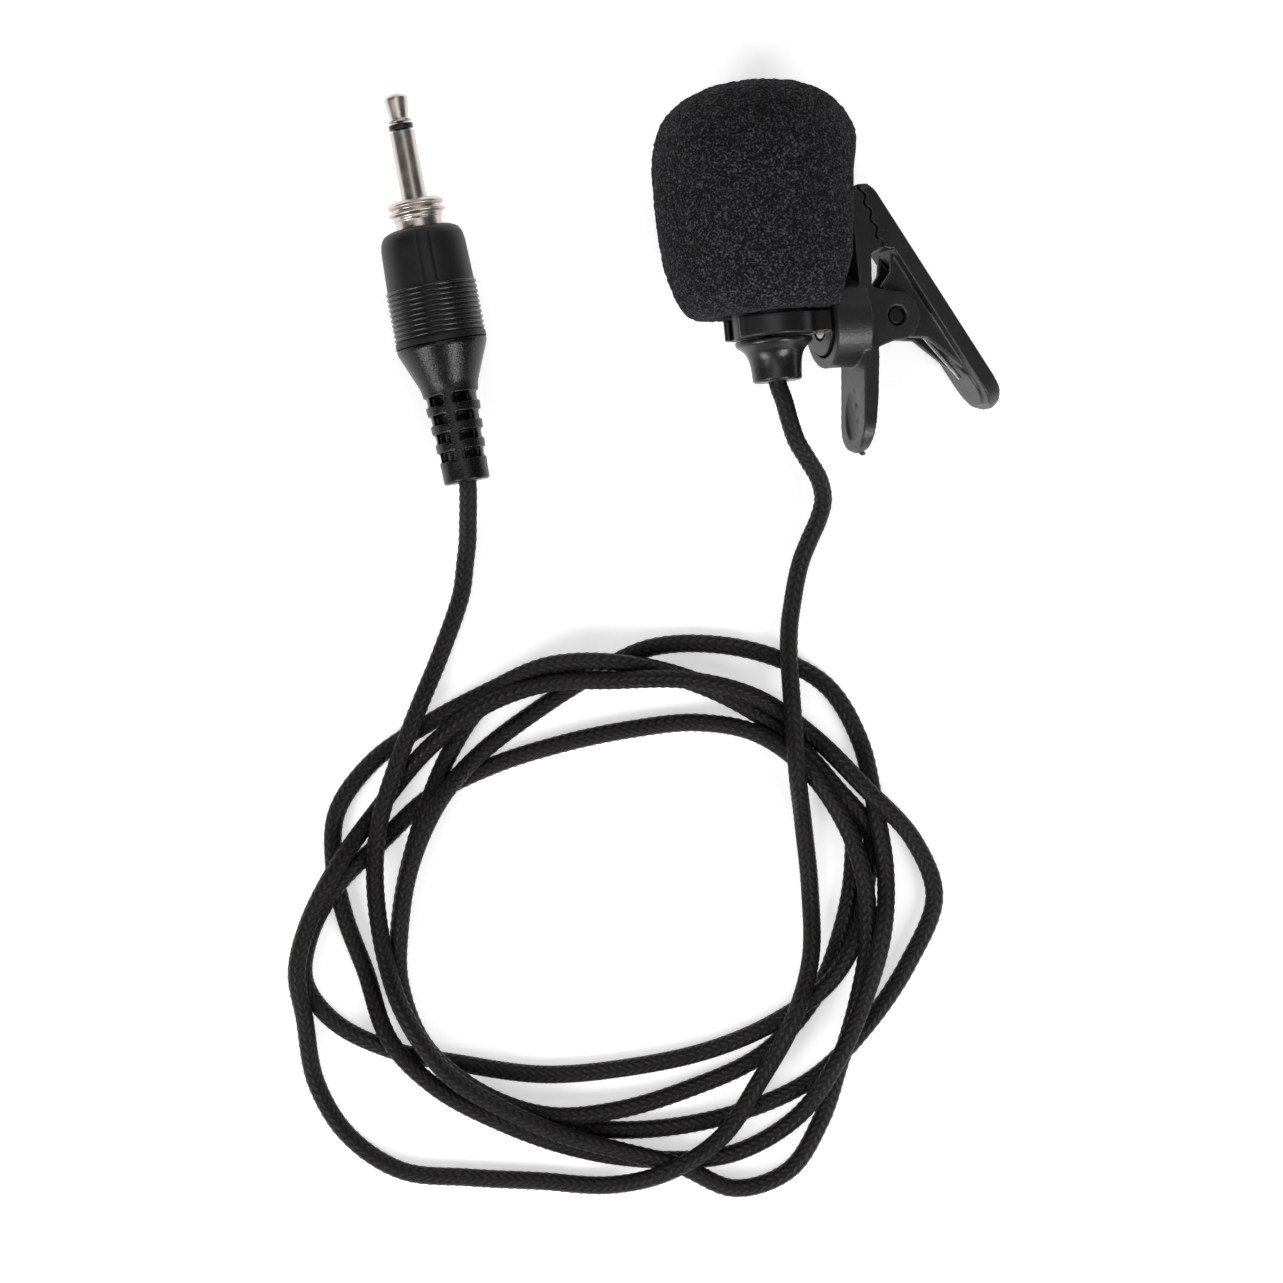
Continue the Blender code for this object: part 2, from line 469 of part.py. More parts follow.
# --- Plug -------------------------------------------------------------------------------
def build_plug(plug):
    turned("plug_tip", [
        (0.0, PLUG_LENGTH), (0.35, PLUG_LENGTH - 0.1), (1.45, PLUG_LENGTH - 0.9),
        (1.5, PLUG_LENGTH - 1.3), (1.33, PLUG_LENGTH - 3.2), (1.4, BAND_TOP + 0.75),
        (1.65, BAND_TOP + 0.6), (1.65, BAND_TOP + GAP), (0.5, BAND_TOP + GAP), (0.5, 20.0), (0.0, 20.0),
    ], "nickel", plug)
    turned("tip_insulator", [
        (JACK_RADIUS - 0.05, BAND_TOP), (JACK_RADIUS - 0.05, SLEEVE_TOP + GAP), (1.15, SLEEVE_TOP + GAP),
        (1.15, 24.5), (0.8, 24.5), (0.8, BAND_TOP),
    ], "soft_pvc", plug)
    turned("plug_sleeve", [
        (JACK_RADIUS, SLEEVE_TOP), (JACK_RADIUS, GRIP_TOP - 2.0), (2.5, GRIP_TOP - 2.0),
        (2.5, 23.0), (1.45, 23.0), (1.45, SLEEVE_TOP),
    ], "nickel", plug)
    collar_inner = JACK_RADIUS + 0.2
    turned("lock_collar", [
        (3.3, COLLAR_TOP), (3.85, COLLAR_TOP - 0.5), (3.5, COLLAR_TOP - 1.0), (4.0, COLLAR_TOP - 1.6),
        (4.0, COLLAR_TOP - 1.9), (3.5, COLLAR_TOP - 2.3), (3.2, COLLAR_TOP - 2.9), (3.2, GRIP_TOP - 1.4),
        (collar_inner, GRIP_TOP - 1.4), (collar_inner, COLLAR_TOP),
    ], "nickel", plug)

    foot = CONE_TOP + GAP
    outer = [(3.5, GRIP_TOP), (4.5, GRIP_TOP - 0.1), (5.3, GRIP_TOP - 0.6), (5.75, GRIP_TOP - 1.4),
             (5.95, GRIP_TOP - 2.6), (6.1, GRIP_TOP - 7.9)]
    groove_start = GRIP_TOP - 8.2
    for i in range(GROOVES):
        top = groove_start - i * GROOVE_PITCH
        outer += [(GRIP_RADIUS - 0.1, top), (GRIP_RADIUS, top - 0.12), (GRIP_RADIUS, top - 0.38),
                  (GRIP_RADIUS - 0.1, top - 0.5), (GRIP_RADIUS - GROOVE_DEPTH, top - 0.61)]
    outer += [(GRIP_RADIUS, groove_start - GROOVES * GROOVE_PITCH), (GRIP_RADIUS, foot + 0.4),
              (GRIP_RADIUS - 0.3, foot)]
    turned("grip_sleeve", outer + [(5.0, foot), (5.0, GRIP_TOP - 1.7), (3.5, GRIP_TOP - 1.7)],
           "soft_pvc", plug)

    turned("plug_core", [
        (4.8, GRIP_TOP - 2.1), (4.8, CONE_TOP + 0.9), (2.8, CONE_TOP + 0.9), (2.8, GRIP_TOP - 2.1),
    ], "black_plastic", plug)

    relief = turned("strain_relief", [
        (2.5, CONE_TOP), (6.2, CONE_TOP), (6.25, CONE_TOP - 0.5), (5.9, CONE_TOP - 1.4),
        (4.15, RELIEF_TOP + 0.5), (3.95, RELIEF_TOP - 0.4), (3.25, 1.9), (3.25, 0.2), (3.1, 0.0),
        (1.5, 0.0), (1.5, 16.0), (2.5, 17.0),
    ], "soft_pvc", plug)
    for row in range(4):
        middle = 3.8 + row * 2.62
        for side in (-1, 1):
            low = (min(side * 0.8, side * 6.0), -6.0, middle - 0.62)
            high = (max(side * 0.8, side * 6.0), 6.0, middle + 0.62)
            slot = box_tool("relief_slot_%d_%d" % (row, side + 1), low, high, plug)
            heart = rod_tool("slot_heart_%d_%d" % (row, side + 1), 2.3, -1.0, 15.0, plug, steps=20)
            combine(slot, heart, "DIFFERENCE")
            combine(relief, slot, "DIFFERENCE")

    wire("tip_lead", [(0.55, 0, 15.5), (0.55, 0, 17.5), (0.1, 0.95, 19.4), (0.1, 0.95, 21.5)],
         0.3, "wire", plug)
    wire("shield_lead", [(-0.55, 0, 15.5), (-0.7, 0, 17.5), (-1.9, 0, 20.0), (-1.95, 0, 22.6)],
         0.3, "spring_steel", plug)


# --- Lead -------------------------------------------------------------------------------
def smooth_point(p0, p1, p2, p3, t):
    """A point between p1 and p2 on the centripetal curve through four points."""
    d1 = math.sqrt((p1 - p0).length)
    d2 = math.sqrt((p2 - p1).length)
    d3 = math.sqrt((p3 - p2).length)
    m1 = ((p1 - p0) / d1 - (p2 - p0) / (d1 + d2) + (p2 - p1) / d2) * d2
    m2 = ((p2 - p1) / d2 - (p3 - p1) / (d2 + d3) + (p3 - p2) / d3) * d2
    t2, t3 = t * t, t * t * t
    return ((2 * t3 - 3 * t2 + 1) * p1 + (t3 - 2 * t2 + t) * m1
            + (3 * t2 - 2 * t3) * p2 + (t3 - t2) * m2)


def lead_path():
    """Evenly spaced points on the smooth centre line, never below the surface."""
    knots = [Vector(p) for p in LEAD]
    knots = [knots[0] * 2 - knots[1]] + knots + [knots[-1] * 2 - knots[-2]]
    fine = []
    for i in range(1, len(knots) - 2):
        for k in range(8):
            fine.append(smooth_point(*knots[i - 1:i + 3], k / 8))
    fine.append(knots[-2])
    for point in fine:
        point.z = max(point.z, CORD_RADIUS)
    # Points lie closer together where the lead bends more.
    reach = [0.0]
    for a, b, c in zip(fine, fine[1:], fine[2:] + [fine[-1]]):
        bend = (b - a).angle(c - b, 0.0) / (b - a).length
        reach.append(reach[-1] + (b - a).length * (1.0 + LEAD_CROWDING * bend))
    path = []
    seek = 0
    for i in range(LEAD_POINTS):
        goal = reach[-1] * i / (LEAD_POINTS - 1)
        while seek < len(fine) - 2 and reach[seek + 1] < goal:
            seek += 1
        share = (goal - reach[seek]) / (reach[seek + 1] - reach[seek])
        path.append(fine[seek].lerp(fine[seek + 1], share))
    return path


def main():
    lean_x = Vector((math.cos(MIC_LEAN), math.sin(MIC_LEAN), 0.0))
    axis = Vector((-math.sin(MIC_LEAN), math.cos(MIC_LEAN), 0.0))
    up = Vector((0.0, 0.0, 1.0))
    clip_side = lean_x * math.cos(CLIP_ROLL) - up * math.sin(CLIP_ROLL)
    clip_top = lean_x * math.sin(CLIP_ROLL) + up * math.cos(CLIP_ROLL)

    mic = make_empty("microphone_axis", MIC_CENTRE, (clip_side, -clip_top, axis))
    swivel = make_empty("swivel_axis", MIC_CENTRE, (clip_side, axis, clip_top))
    hinge = make_empty("hinge_axis", (*PIN, 0.0), ((1, 0, 0), (0, 1, 0), (0, 0, 1)), swivel)
    plug_way = (-math.sin(PLUG_LEAN), math.cos(PLUG_LEAN), 0.0)
    plug_side = (math.cos(PLUG_LEAN), math.sin(PLUG_LEAN), 0.0)
    plug = make_empty("plug_axis", PLUG_END, (plug_side, (0.0, 0.0, -1.0), plug_way))

    build_microphone(mic, swivel)
    build_base_jaw(swivel)
    build_front_jaw(hinge)
    build_clip_metal(swivel, hinge)
    build_plug(plug)
    wire("cord", lead_path(), CORD_RADIUS, "braid", None)


clear_scene()
PARTS = make_collection("lavalier_microphone")
TOOLS = make_collection("tools")
main()
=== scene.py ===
"""Lavalier microphone for the eye: foam windscreen, swivelling spring clip, braided lead in
loose loops and a locking 3.5 mm plug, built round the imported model's bodies and joints.
"""
import json
import math

import bmesh
import bpy
import numpy as np
from mathutils import Matrix, Vector, noise


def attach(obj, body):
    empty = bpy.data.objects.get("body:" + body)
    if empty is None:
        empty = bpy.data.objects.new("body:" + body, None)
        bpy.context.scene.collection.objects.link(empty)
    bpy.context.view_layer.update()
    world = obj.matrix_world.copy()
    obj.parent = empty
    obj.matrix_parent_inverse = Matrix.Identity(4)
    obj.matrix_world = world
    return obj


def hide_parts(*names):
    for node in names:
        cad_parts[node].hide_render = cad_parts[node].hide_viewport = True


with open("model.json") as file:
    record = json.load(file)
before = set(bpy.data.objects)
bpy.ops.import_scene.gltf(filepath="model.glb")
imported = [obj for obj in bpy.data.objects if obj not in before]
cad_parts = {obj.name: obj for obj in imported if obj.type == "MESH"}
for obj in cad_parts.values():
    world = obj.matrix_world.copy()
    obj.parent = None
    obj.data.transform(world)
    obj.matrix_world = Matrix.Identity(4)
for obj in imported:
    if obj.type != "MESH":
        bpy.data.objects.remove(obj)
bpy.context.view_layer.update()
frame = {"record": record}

joints = {joint["name"]: joint for joint in frame["record"]["behaviour"]["joints"]}


# --- Table, daylight and camera ---------------------------------------------------------
# A white sheet under soft, even light from all round, with softboxes to the left and right,
# a weak one overhead and one behind. The camera looks straight down from 600 mm.
def area_light(name, place, size, power):
    light = bpy.data.lights.new(name, "AREA")
    light.shape = "RECTANGLE"
    light.size, light.size_y = size
    light.energy = power
    holder = bpy.data.objects.new(name, light)
    holder.location = place
    holder.rotation_euler = (-Vector(place)).to_track_quat("-Z", "Y").to_euler()
    bpy.context.scene.collection.objects.link(holder)


def build_studio():
    middle = Vector((-0.02569, -0.0516, 0.0))
    camera_height, table_half = 0.6, 3.0
    camera = bpy.data.cameras.new("camera")
    camera.sensor_width = 36.0
    camera.lens = 119.4
    camera.clip_start = 0.01
    holder = bpy.data.objects.new("camera", camera)
    holder.location = middle + Vector((0.0, 0.0, camera_height))
    bpy.context.scene.collection.objects.link(holder)
    bpy.context.scene.camera = holder

    sheet = bmesh.new()
    bmesh.ops.create_grid(sheet, x_segments=1, y_segments=1, size=table_half)
    mesh = bpy.data.meshes.new("table")
    sheet.to_mesh(mesh)
    sheet.free()
    table = bpy.data.objects.new("table", mesh)
    bpy.context.scene.collection.objects.link(table)
    white = bpy.data.materials.new("table")
    white.use_nodes = True
    shader = white.node_tree.nodes["Principled BSDF"]
    shader.inputs["Base Color"].default_value = (0.93, 0.93, 0.94, 1.0)
    shader.inputs["Roughness"].default_value = 0.9
    # The sheet is lit from below as well, as a light table is, which thins the shadows.
    shader.inputs["Emission Color"].default_value = (1.0, 1.0, 1.0, 1.0)
    shader.inputs["Emission Strength"].default_value = 0.52
    mesh.materials.append(white)

    world = bpy.data.worlds.new("daylight")
    world.use_nodes = True
    # Bright walls all round and a darker ceiling, which black plastic mirrors from above.
    nodes, links = world.node_tree.nodes, world.node_tree.links
    background = nodes["Background"]
    split = nodes.new("ShaderNodeSeparateXYZ")
    links.new(nodes.new("ShaderNodeTexCoord").outputs["Generated"], split.inputs[0])
    fade = nodes.new("ShaderNodeMapRange")
    fade.interpolation_type = "SMOOTHSTEP"
    walls_to_ceiling = {"From Min": 0.15, "From Max": 0.85, "To Min": 1.1, "To Max": 0.25}
    for socket, value in walls_to_ceiling.items():
        fade.inputs[socket].default_value = value
    links.new(split.outputs["Z"], fade.inputs["Value"])
    links.new(fade.outputs[0], background.inputs["Strength"])
    bpy.context.scene.world = world
    bpy.context.scene.view_settings.view_transform = "Standard"
    area_light("left_softbox", (-0.52, -0.50, 0.50), (0.28, 0.5), 4.2)
    area_light("right_softbox", (0.46, -0.55, 0.50), (0.28, 0.5), 4.2)
    area_light("top_softbox", (-0.03, -0.03, 0.85), (0.32, 0.7), 1.1)
    area_light("rear_softbox", (0.0, 0.75, 0.60), (0.9, 0.3), 2.0)


build_studio()


# --- Lead -------------------------------------------------------------------------------
# A 2.4 mm lead in a tight sleeve of braided black nylon. It leaves the microphone's boot,
# drops to the table, lies in loose loops over itself and rises into the plug.
class Number:
    """A number socket of a material's tree that takes part in plain arithmetic."""

    def __init__(self, finish, socket):
        self.finish, self.socket = finish, socket

    def math(self, operation, *others):
        return self.finish.number(operation, self, *others)

    def __add__(self, other):
        return self.math("ADD", other)

    def __sub__(self, other):
        return self.math("SUBTRACT", other)

    def __rsub__(self, other):
        return self.finish.number("SUBTRACT", other, self)

    def __mul__(self, other):
        return self.math("MULTIPLY", other)

    __radd__ = __add__
    __rmul__ = __mul__


class Finish:
    """A material with one Principled shader and a method that adds any other node."""

    def __init__(self, name, roughness, metallic=0.0, **even):
        self.material = bpy.data.materials.new(name)
        self.material.use_nodes = True
        self.tree = self.material.node_tree
        self.shader = self.tree.nodes["Principled BSDF"]
        even.update({"Roughness": roughness, "Metallic": metallic})
        for socket, value in even.items():
            self.shader.inputs[socket.replace("_", " ")].default_value = value

    def node(self, kind, settings, sockets):
        made = self.tree.nodes.new(kind)
        for setting, value in settings.items():
            setattr(made, setting, value)
        for key, value in sockets.items():
            self.feed(made.inputs[key], value)
        return made

    def feed(self, socket, value):
        if isinstance(value, Number):
            value = value.socket
        if isinstance(value, bpy.types.NodeSocket):
            self.tree.links.new(value, socket)
        else:
            socket.default_value = value

    def number(self, operation, *values):
        made = self.node("ShaderNodeMath", {"operation": operation}, dict(enumerate(values)))
        return Number(self, made.outputs[0])

    def place(self):
        return self.node("ShaderNodeTexCoord", {}, {}).outputs["Object"]

    def noise(self, size, detail=2.0, vector=None):
        """Soft noise with lumps of about the given size in metres."""
        sockets = {"Vector": vector or self.place(), "Scale": 1.0 / size, "Detail": detail}
        return Number(self, self.node("ShaderNodeTexNoise", {}, sockets).outputs["Fac"])

    def blend(self, share, low, high):
        """A colour between low and high."""
        made = self.node("ShaderNodeMix", {"data_type": "RGBA"}, {0: share})
        made.inputs[6].default_value = (*low, 1.0)
        made.inputs[7].default_value = (*high, 1.0)
        return made.outputs[2]

    def bump(self, height, distance, strength=1.0):
        made = self.node("ShaderNodeBump", {}, {
            "Height": height, "Distance": distance, "Strength": strength})
        self.tree.links.new(made.outputs["Normal"], self.shader.inputs["Normal"])

    def colour(self, socket):
        self.feed(self.shader.inputs["Base Color"], socket)

    def rough(self, value):
        self.feed(self.shader.inputs["Roughness"], value)


def braided_nylon():
    """Two sets of flat yarns, over two and under two, in the cord's own UV cells."""
    finish = Finish("braided_nylon", 0.5, Specular_IOR_Level=0.26)
    uv = finish.node("ShaderNodeTexCoord", {}, {}).outputs["UV"]
    parts = finish.node("ShaderNodeSeparateXYZ", {}, {0: uv})
    across, along = Number(finish, parts.outputs[0]), Number(finish, parts.outputs[1])
    left, right = across + along, across - along
    left_share, right_share = left.math("FRACT"), right.math("FRACT")
    over = ((left.math("FLOOR") + right.math("FLOOR")) * 0.25).math("FRACT").math("LESS_THAN", 0.5)
    left_crown = (left_share * math.pi).math("SINE")
    right_crown = (right_share * math.pi).math("SINE")
    column = (across.math("FRACT") * math.pi).math("SINE")
    left_yarn = left_crown * (0.35 + 0.65 * column)
    right_yarn = right_crown * (0.35 + 0.65 * column)
    fibres_per_yarn = 4.0
    left_fibre = (left_share * (2.0 * math.pi * fibres_per_yarn)).math("SINE")
    right_fibre = (right_share * (2.0 * math.pi * fibres_per_yarn)).math("SINE")
    yarn = left_yarn * over + right_yarn * (1.0 - over)
    fibre = left_fibre * over + right_fibre * (1.0 - over)
    wear = finish.noise(0.004, 3.0)
    # The colour carries painted light: dark in the gaps between the yarns as painted shade, light on the yarn
    # crests as a painted highlight, with fibre lines and random patches of tone.
    shade = yarn * yarn * 0.9 + fibre * 0.12 + (wear - 0.5) * 0.5
    painted_gap_shade, painted_crest_highlight = (0.0012, 0.0011, 0.0010), (0.024, 0.0222, 0.020)
    finish.colour(finish.blend(shade.math("MAXIMUM", 0.0), painted_gap_shade, painted_crest_highlight))
    finish.rough(0.66 - yarn * 0.28)
    yarn_height = 0.00016
    finish.bump(yarn + fibre * 0.12, yarn_height)
    return finish.material


def smooth_point(p0, p1, p2, p3, t):
    """A point between p1 and p2 on the centripetal curve through four points."""
    d1 = math.sqrt((p1 - p0).length)
    d2 = math.sqrt((p2 - p1).length)
    d3 = math.sqrt((p3 - p2).length)
    m1 = ((p1 - p0) / d1 - (p2 - p0) / (d1 + d2) + (p2 - p1) / d2) * d2
    m2 = ((p2 - p1) / d2 - (p3 - p1) / (d2 + d3) + (p3 - p2) / d3) * d2
    t2, t3 = t * t, t * t * t
    return ((2 * t3 - 3 * t2 + 1) * p1 + (t3 - 2 * t2 + t) * m1
            + (3 * t2 - 2 * t3) * p2 + (t3 - t2) * m2)


def even_path(knots, step, lowest):
    """Points a step apart on the smooth curve through the knots, never below lowest."""
    knots = [knots[0] * 2 - knots[1]] + knots + [knots[-1] * 2 - knots[-2]]
    fine = []
    per_knot = 30
    for i in range(1, len(knots) - 2):
        for k in range(per_knot):
            fine.append(smooth_point(*knots[i - 1:i + 3], k / per_knot))
    fine.append(knots[-2])
    fine = np.array([(p.x, p.y, max(p.z, lowest)) for p in fine])
    reach = np.concatenate(([0.0], np.cumsum(np.linalg.norm(np.diff(fine, axis=0), axis=1))))
    count = round(reach[-1] / step)
    goals = np.linspace(0.0, reach[-1], count + 1)
    return np.stack([np.interp(goals, reach, fine[:, k]) for k in range(3)], axis=1), reach[-1]


def link_piece(name, mesh, material):
    piece = bpy.data.objects.new(name, mesh)
    bpy.context.scene.collection.objects.link(piece)
    mesh.materials.clear()
    mesh.materials.append(material)
    return piece


def build_lead():
    mm = 0.001
    radius, crown = 1.25 * mm, 0.06 * mm
    yarns, pitch = 8, 1.25 * mm
    # The route's points in millimetres, from the plug to the microphone.
    route = [
        (-49.92, -29.62, 6.5), (-49.9, -31.8, 5.6), (-50, -34.6, 4.2), (-50.1, -37.4, 2.9),
        (-50.5, -40.8, 1.8), (-51.1, -45.1, 1.3), (-54, -53.5, 1.4), (-57, -61, 3.1), (-60, -69, 3.8),
        (-62.5, -77.5, 3.8), (-63, -85.5, 4.1), (-61.5, -96, 4.8), (-58.5, -104, 7.4), (-53, -111.5, 7.9),
        (-45.5, -116.5, 7), (-37, -120.5, 5), (-28.5, -123, 3.6), (-20.5, -125, 3.6), (-12.5, -128.5, 1.4),
        (-5, -126, 1.2), (-0.5, -119, 1.4), (2, -111, 3.4), (4.5, -102.5, 3.1), (6, -93.5, 4.3),
        (5.5, -85, 4.3), (3, -77.5, 4.3), (-2.5, -69.5, 5.8), (-9.5, -64.5, 4.6), (-18, -63, 1.4),
        (-27.5, -64, 1.2), (-37, -66, 1.2), (-46.5, -69, 1.2), (-55.5, -73.5, 1.2), (-62, -79.5, 1.4),
        (-68.5, -86, 3.4), (-72.5, -93.5, 1.4), (-73, -99.5, 1.2), (-69, -105, 1.2), (-61, -109, 1.2),
        (-51, -111, 1.2), (-39.5, -112.5, 1.2), (-27.5, -111.5, 1.2), (-16, -109, 1.4), (-7, -105, 2.9),
        (0.5, -99.5, 3.6), (4.5, -93, 2.9), (6, -85.5, 1.4), (6.5, -78.5, 1.9), (1.5, -72, 3.6),
        (-4.5, -65.5, 3.6), (-12.5, -60, 3.6), (-21, -56.5, 4.1), (-30, -54.5, 5.8), (-39, -55, 4.6),
        (-47, -58.5, 2.9), (-55.5, -63, 1.4), (-63.5, -68.5, 1.2), (-68.5, -75.5, 1.2), (-69, -82.5, 1.2),
        (-67.5, -90, 1.2), (-64.5, -98, 1.4), (-61, -107.5, 3.4), (-54.5, -114, 4.3), (-45, -119, 4.8),
        (-34.5, -123, 1.4), (-23, -124.5, 1.2), (-12.5, -123.5, 1.2), (-4, -118.5, 2.2), (1.5, -110.5, 6),
        (5.5, -101.5, 5.5), (8, -92.5, 5.8), (8.5, -84, 3.8), (7, -74.5, 3.6), (5, -65.5, 1.4),
        (0.5, -58, 1.2), (-6.5, -54, 1.2), (-15.5, -52, 1.2), (-24.5, -52.5, 1.2), (-32, -56, 1.2),
        (-40, -61, 1.2), (-48.5, -67.5, 2.6), (-54, -74, 5.5), (-58, -83, 4.6), (-59.5, -91.5, 3.8),
        (-59.5, -99.5, 3.6), (-56, -108, 5.5), (-48.5, -114.5, 4.6), (-39, -118, 3.4), (-29.5, -117.5, 2.2),
        (-19, -114.5, 1.2), (-8.5, -109.5, 1.2), (-1, -101, 1.2), (2.5, -92, 1.2), (4, -83.5, 1.2),
        (3.5, -76, 1.2), (-2.5, -68, 1.2), (-11, -60.5, 1.2), (-21.5, -56, 1.9), (-31.5, -54.5, 3.6),
        (-40, -56, 1.4), (-48, -60.5, 1.2), (-52.5, -67, 2.4), (-56, -75.5, 3.6), (-59, -86, 1.4),
        (-60, -95, 1.2), (-60, -101.5, 1.2), (-54.5, -110.5, 3.4), (-45, -117, 1.4), (-33.5, -120, 1.2),
        (-22.5, -120, 1.2), (-11, -117.5, 1.2), (-1.5, -113, 1.2), (6, -105.5, 1.2), (12, -96.5, 1.2),
        (15.5, -87.5, 1.4), (12.5, -79.5, 2.9), (5.5, -72, 6), (-1.5, -65, 2.9), (-9.5, -59.5, 5),
        (-19, -57, 6.5), (-29.5, -57, 6.7), (-39, -57.5, 5), (-47.5, -60.5, 4.3), (-55.5, -66.5, 2.9),
        (-63, -75.5, 1.2), (-68.5, -83.5, 5), (-72.5, -91.5, 4.3), (-74, -98, 3.8), (-73, -104.5, 2.6),
        (-71.5, -113.5, 1.2), (-67, -121, 1.2), (-59.5, -126, 1.2), (-50, -127, 1.2), (-40, -127.5, 1.2),
        (-30, -128, 1.7), (-21.5, -125.5, 5.5), (-14.5, -121, 4.3), (-9, -113, 3.4), (-4.5, -104.5, 5.8),
        (-2, -96, 3.8), (-2, -86.5, 1.4), (-3, -77, 2.2), (-4, -70, 7.7), (-4.5, -62.5, 6.2),
        (-5, -54, 3.6), (-5, -51.4, 2.4), (-4.8, -48.6, 1.4), (-4.4, -45.8, 1.2), (-3.9, -42.9, 1.2),
        (-3.2, -40.1, 1.4), (-2.1, -37.3, 1.9), (-0.9, -34.5, 2.9), (-0.3, -31.8, 4.6), (-0.9, -29.1, 6.9),
        (-2.6, -26.4, 9.6), (-4.3, -23.8, 12), (-5.3, -21.1, 13.6), (-6.1, -18.4, 14.4),
        (-6.91, -16.18, 14.6),
    ]
    # Both ends are tucked a little way into the boot and the strain relief.
    tuck = 1.6
    mic_end, plug_end = Vector(route[-1]), Vector(route[0])
    mic_tuck = mic_end + Vector(joints["windscreen_pull"]["axis"]) * tuck
    plug_tuck = plug_end + Vector(joints["plug_lock_turn"]["axis"]) * tuck
    knots = [plug_tuck * mm] + [Vector(point) * mm for point in route] + [mic_tuck * mm]
    rings_per_pitch = 4
    path, length = even_path(knots, pitch / rings_per_pitch, radius + crown)
    along = np.gradient(path, axis=0)
    along /= np.linalg.norm(along, axis=1)[:, None]
    # A side direction carried along the lead without twisting it.
    side = np.zeros_like(path)
    carried = np.cross(along[0], (1.0, 0.0, 0.0))
    for i, way in enumerate(along):
        carried = carried - way * np.dot(carried, way)
        carried = carried / np.linalg.norm(carried)
        side[i] = carried
    other = np.cross(along, side)
    sides = 2 * yarns
    rings = len(path)
    turn = np.arange(sides) * (2 * math.pi / sides)
    ring_number = np.arange(rings)[:, None]
    wave = np.cos(2 * math.pi * ring_number / rings_per_pitch + math.pi * np.arange(sides)[None, :])
    reach = radius + crown * wave
    points = (path[:, None, :] + side[:, None, :] * (np.cos(turn) * reach)[:, :, None]
              + other[:, None, :] * (np.sin(turn) * reach)[:, :, None])
    verts = points.reshape(-1, 3).tolist()
    faces = []
    cells = []
    for i in range(rings - 1):
        low, high = i / rings_per_pitch, (i + 1) / rings_per_pitch
        for k in range(sides):
            n = (k + 1) % sides
            faces.append((i * sides + k, i * sides + n, (i + 1) * sides + n, (i + 1) * sides + k))
            left, right = k / 2, (k + 1) / 2
            cells += [(left, low), (right, low), (right, high), (left, high)]
    faces.append(tuple(reversed(range(sides))))
    faces.append(tuple((rings - 1) * sides + k for k in range(sides)))
    cells += [(0.5, 0.5)] * (2 * sides)
    mesh = bpy.data.meshes.new("lead")
    mesh.from_pydata(verts, [], faces)
    layer = mesh.uv_layers.new(name="braid")
    layer.data.foreach_set("uv", np.array(cells).ravel())
    mesh.shade_smooth()
    lead = link_piece("lead", mesh, braided_nylon())
    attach(lead, "microphone")
    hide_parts("cord")
    thinning = 6
    way = [tuple(point) for point in path[::-thinning]] + [tuple(path[0])]
    return lead, way, float(length)


lead, lead_way, lead_length = build_lead()


# --- Foam windscreen --------------------------------------------------------------------
# A moulded ball of open-cell foam, pulled over the front of the microphone. Its pores are
# about half a millimetre, and the clip presses a flat and a round hollow into its side.
pull = joints["windscreen_pull"]
swivel = joints["clip_swivel"]
mic_centre = Vector(swivel["pos_m"])
mic_way = Vector(pull["axis"]).normalized()
clip_way = Vector(swivel["axis"]).normalized()
clip_up = clip_way.cross(mic_way)


def frame_at(origin, x, y, z):
    """The matrix that takes local millimetres to the world's metres."""
    turn = Matrix((x, y, z)).transposed().to_4x4()
    return Matrix.Translation(origin) @ turn @ Matrix.Scale(0.001, 4)


mic_frame = frame_at(mic_centre, clip_way, -clip_up, mic_way)
clip_frame = frame_at(mic_centre, clip_way, mic_way, clip_up)


def rounded(corners, radius, steps=4):
    """An open (radius, height) line with each inner corner rounded off."""
    line = [Vector(corners[0])]
    for before, corner, after in zip(corners, corners[1:], corners[2:]):
        corner = Vector(corner)
        back, on = Vector(before) - corner, Vector(after) - corner
        reach = min(radius, back.length * 0.45, on.length * 0.45)
        start, end = corner + back.normalized() * reach, corner + on.normalized() * reach
        for i in range(steps + 1):
            t = i / steps
            line.append(start * (1 - t) ** 2 + corner * (2 * t * (1 - t)) + end * t ** 2)
    line.append(Vector(corners[-1]))
    return line


def turned(line, steps, closed=False):
    """A bmesh turned about local z from (radius, height) points, outside first."""
    shape = bmesh.new()
    rings = []
    for radius, height in line:
        if radius < 1e-6:
            rings.append([shape.verts.new((0.0, 0.0, height))])
            continue
        ring = []
        for k in range(steps):
            angle = 2 * math.pi * k / steps
            ring.append(shape.verts.new((radius * math.cos(angle), radius * math.sin(angle), height)))
        rings.append(ring)
    pairs = list(zip(rings, rings[1:]))
    if closed:
        pairs.append((rings[-1], rings[0]))
    for one, two in pairs:
        for k in range(steps):
            n = (k + 1) % steps
            corners = [one[k % len(one)], one[n % len(one)], two[n % len(two)], two[k % len(two)]]
            corners = list(dict.fromkeys(corners))
            shape.faces.new(corners)
    bmesh.ops.recalc_face_normals(shape, faces=shape.faces)
    return shape


def make_piece(name, shape, place, material, body, slot, *nodes, sharp=40.0):
    """Put a bmesh in its place in the world, smooth it, attach it to its body and hide the imported parts it
    replaces.
    """
    shape.transform(place)
    if place.determinant() < 0:
        bmesh.ops.reverse_faces(shape, faces=shape.faces)
    mesh = bpy.data.meshes.new(name)
    shape.to_mesh(mesh)
    shape.free()
    mesh.shade_smooth()
    mesh.set_sharp_from_angle(angle=math.radians(sharp))
    piece = link_piece(name, mesh, material)
    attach(piece, body)
    if nodes:
        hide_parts(*nodes)
    return piece


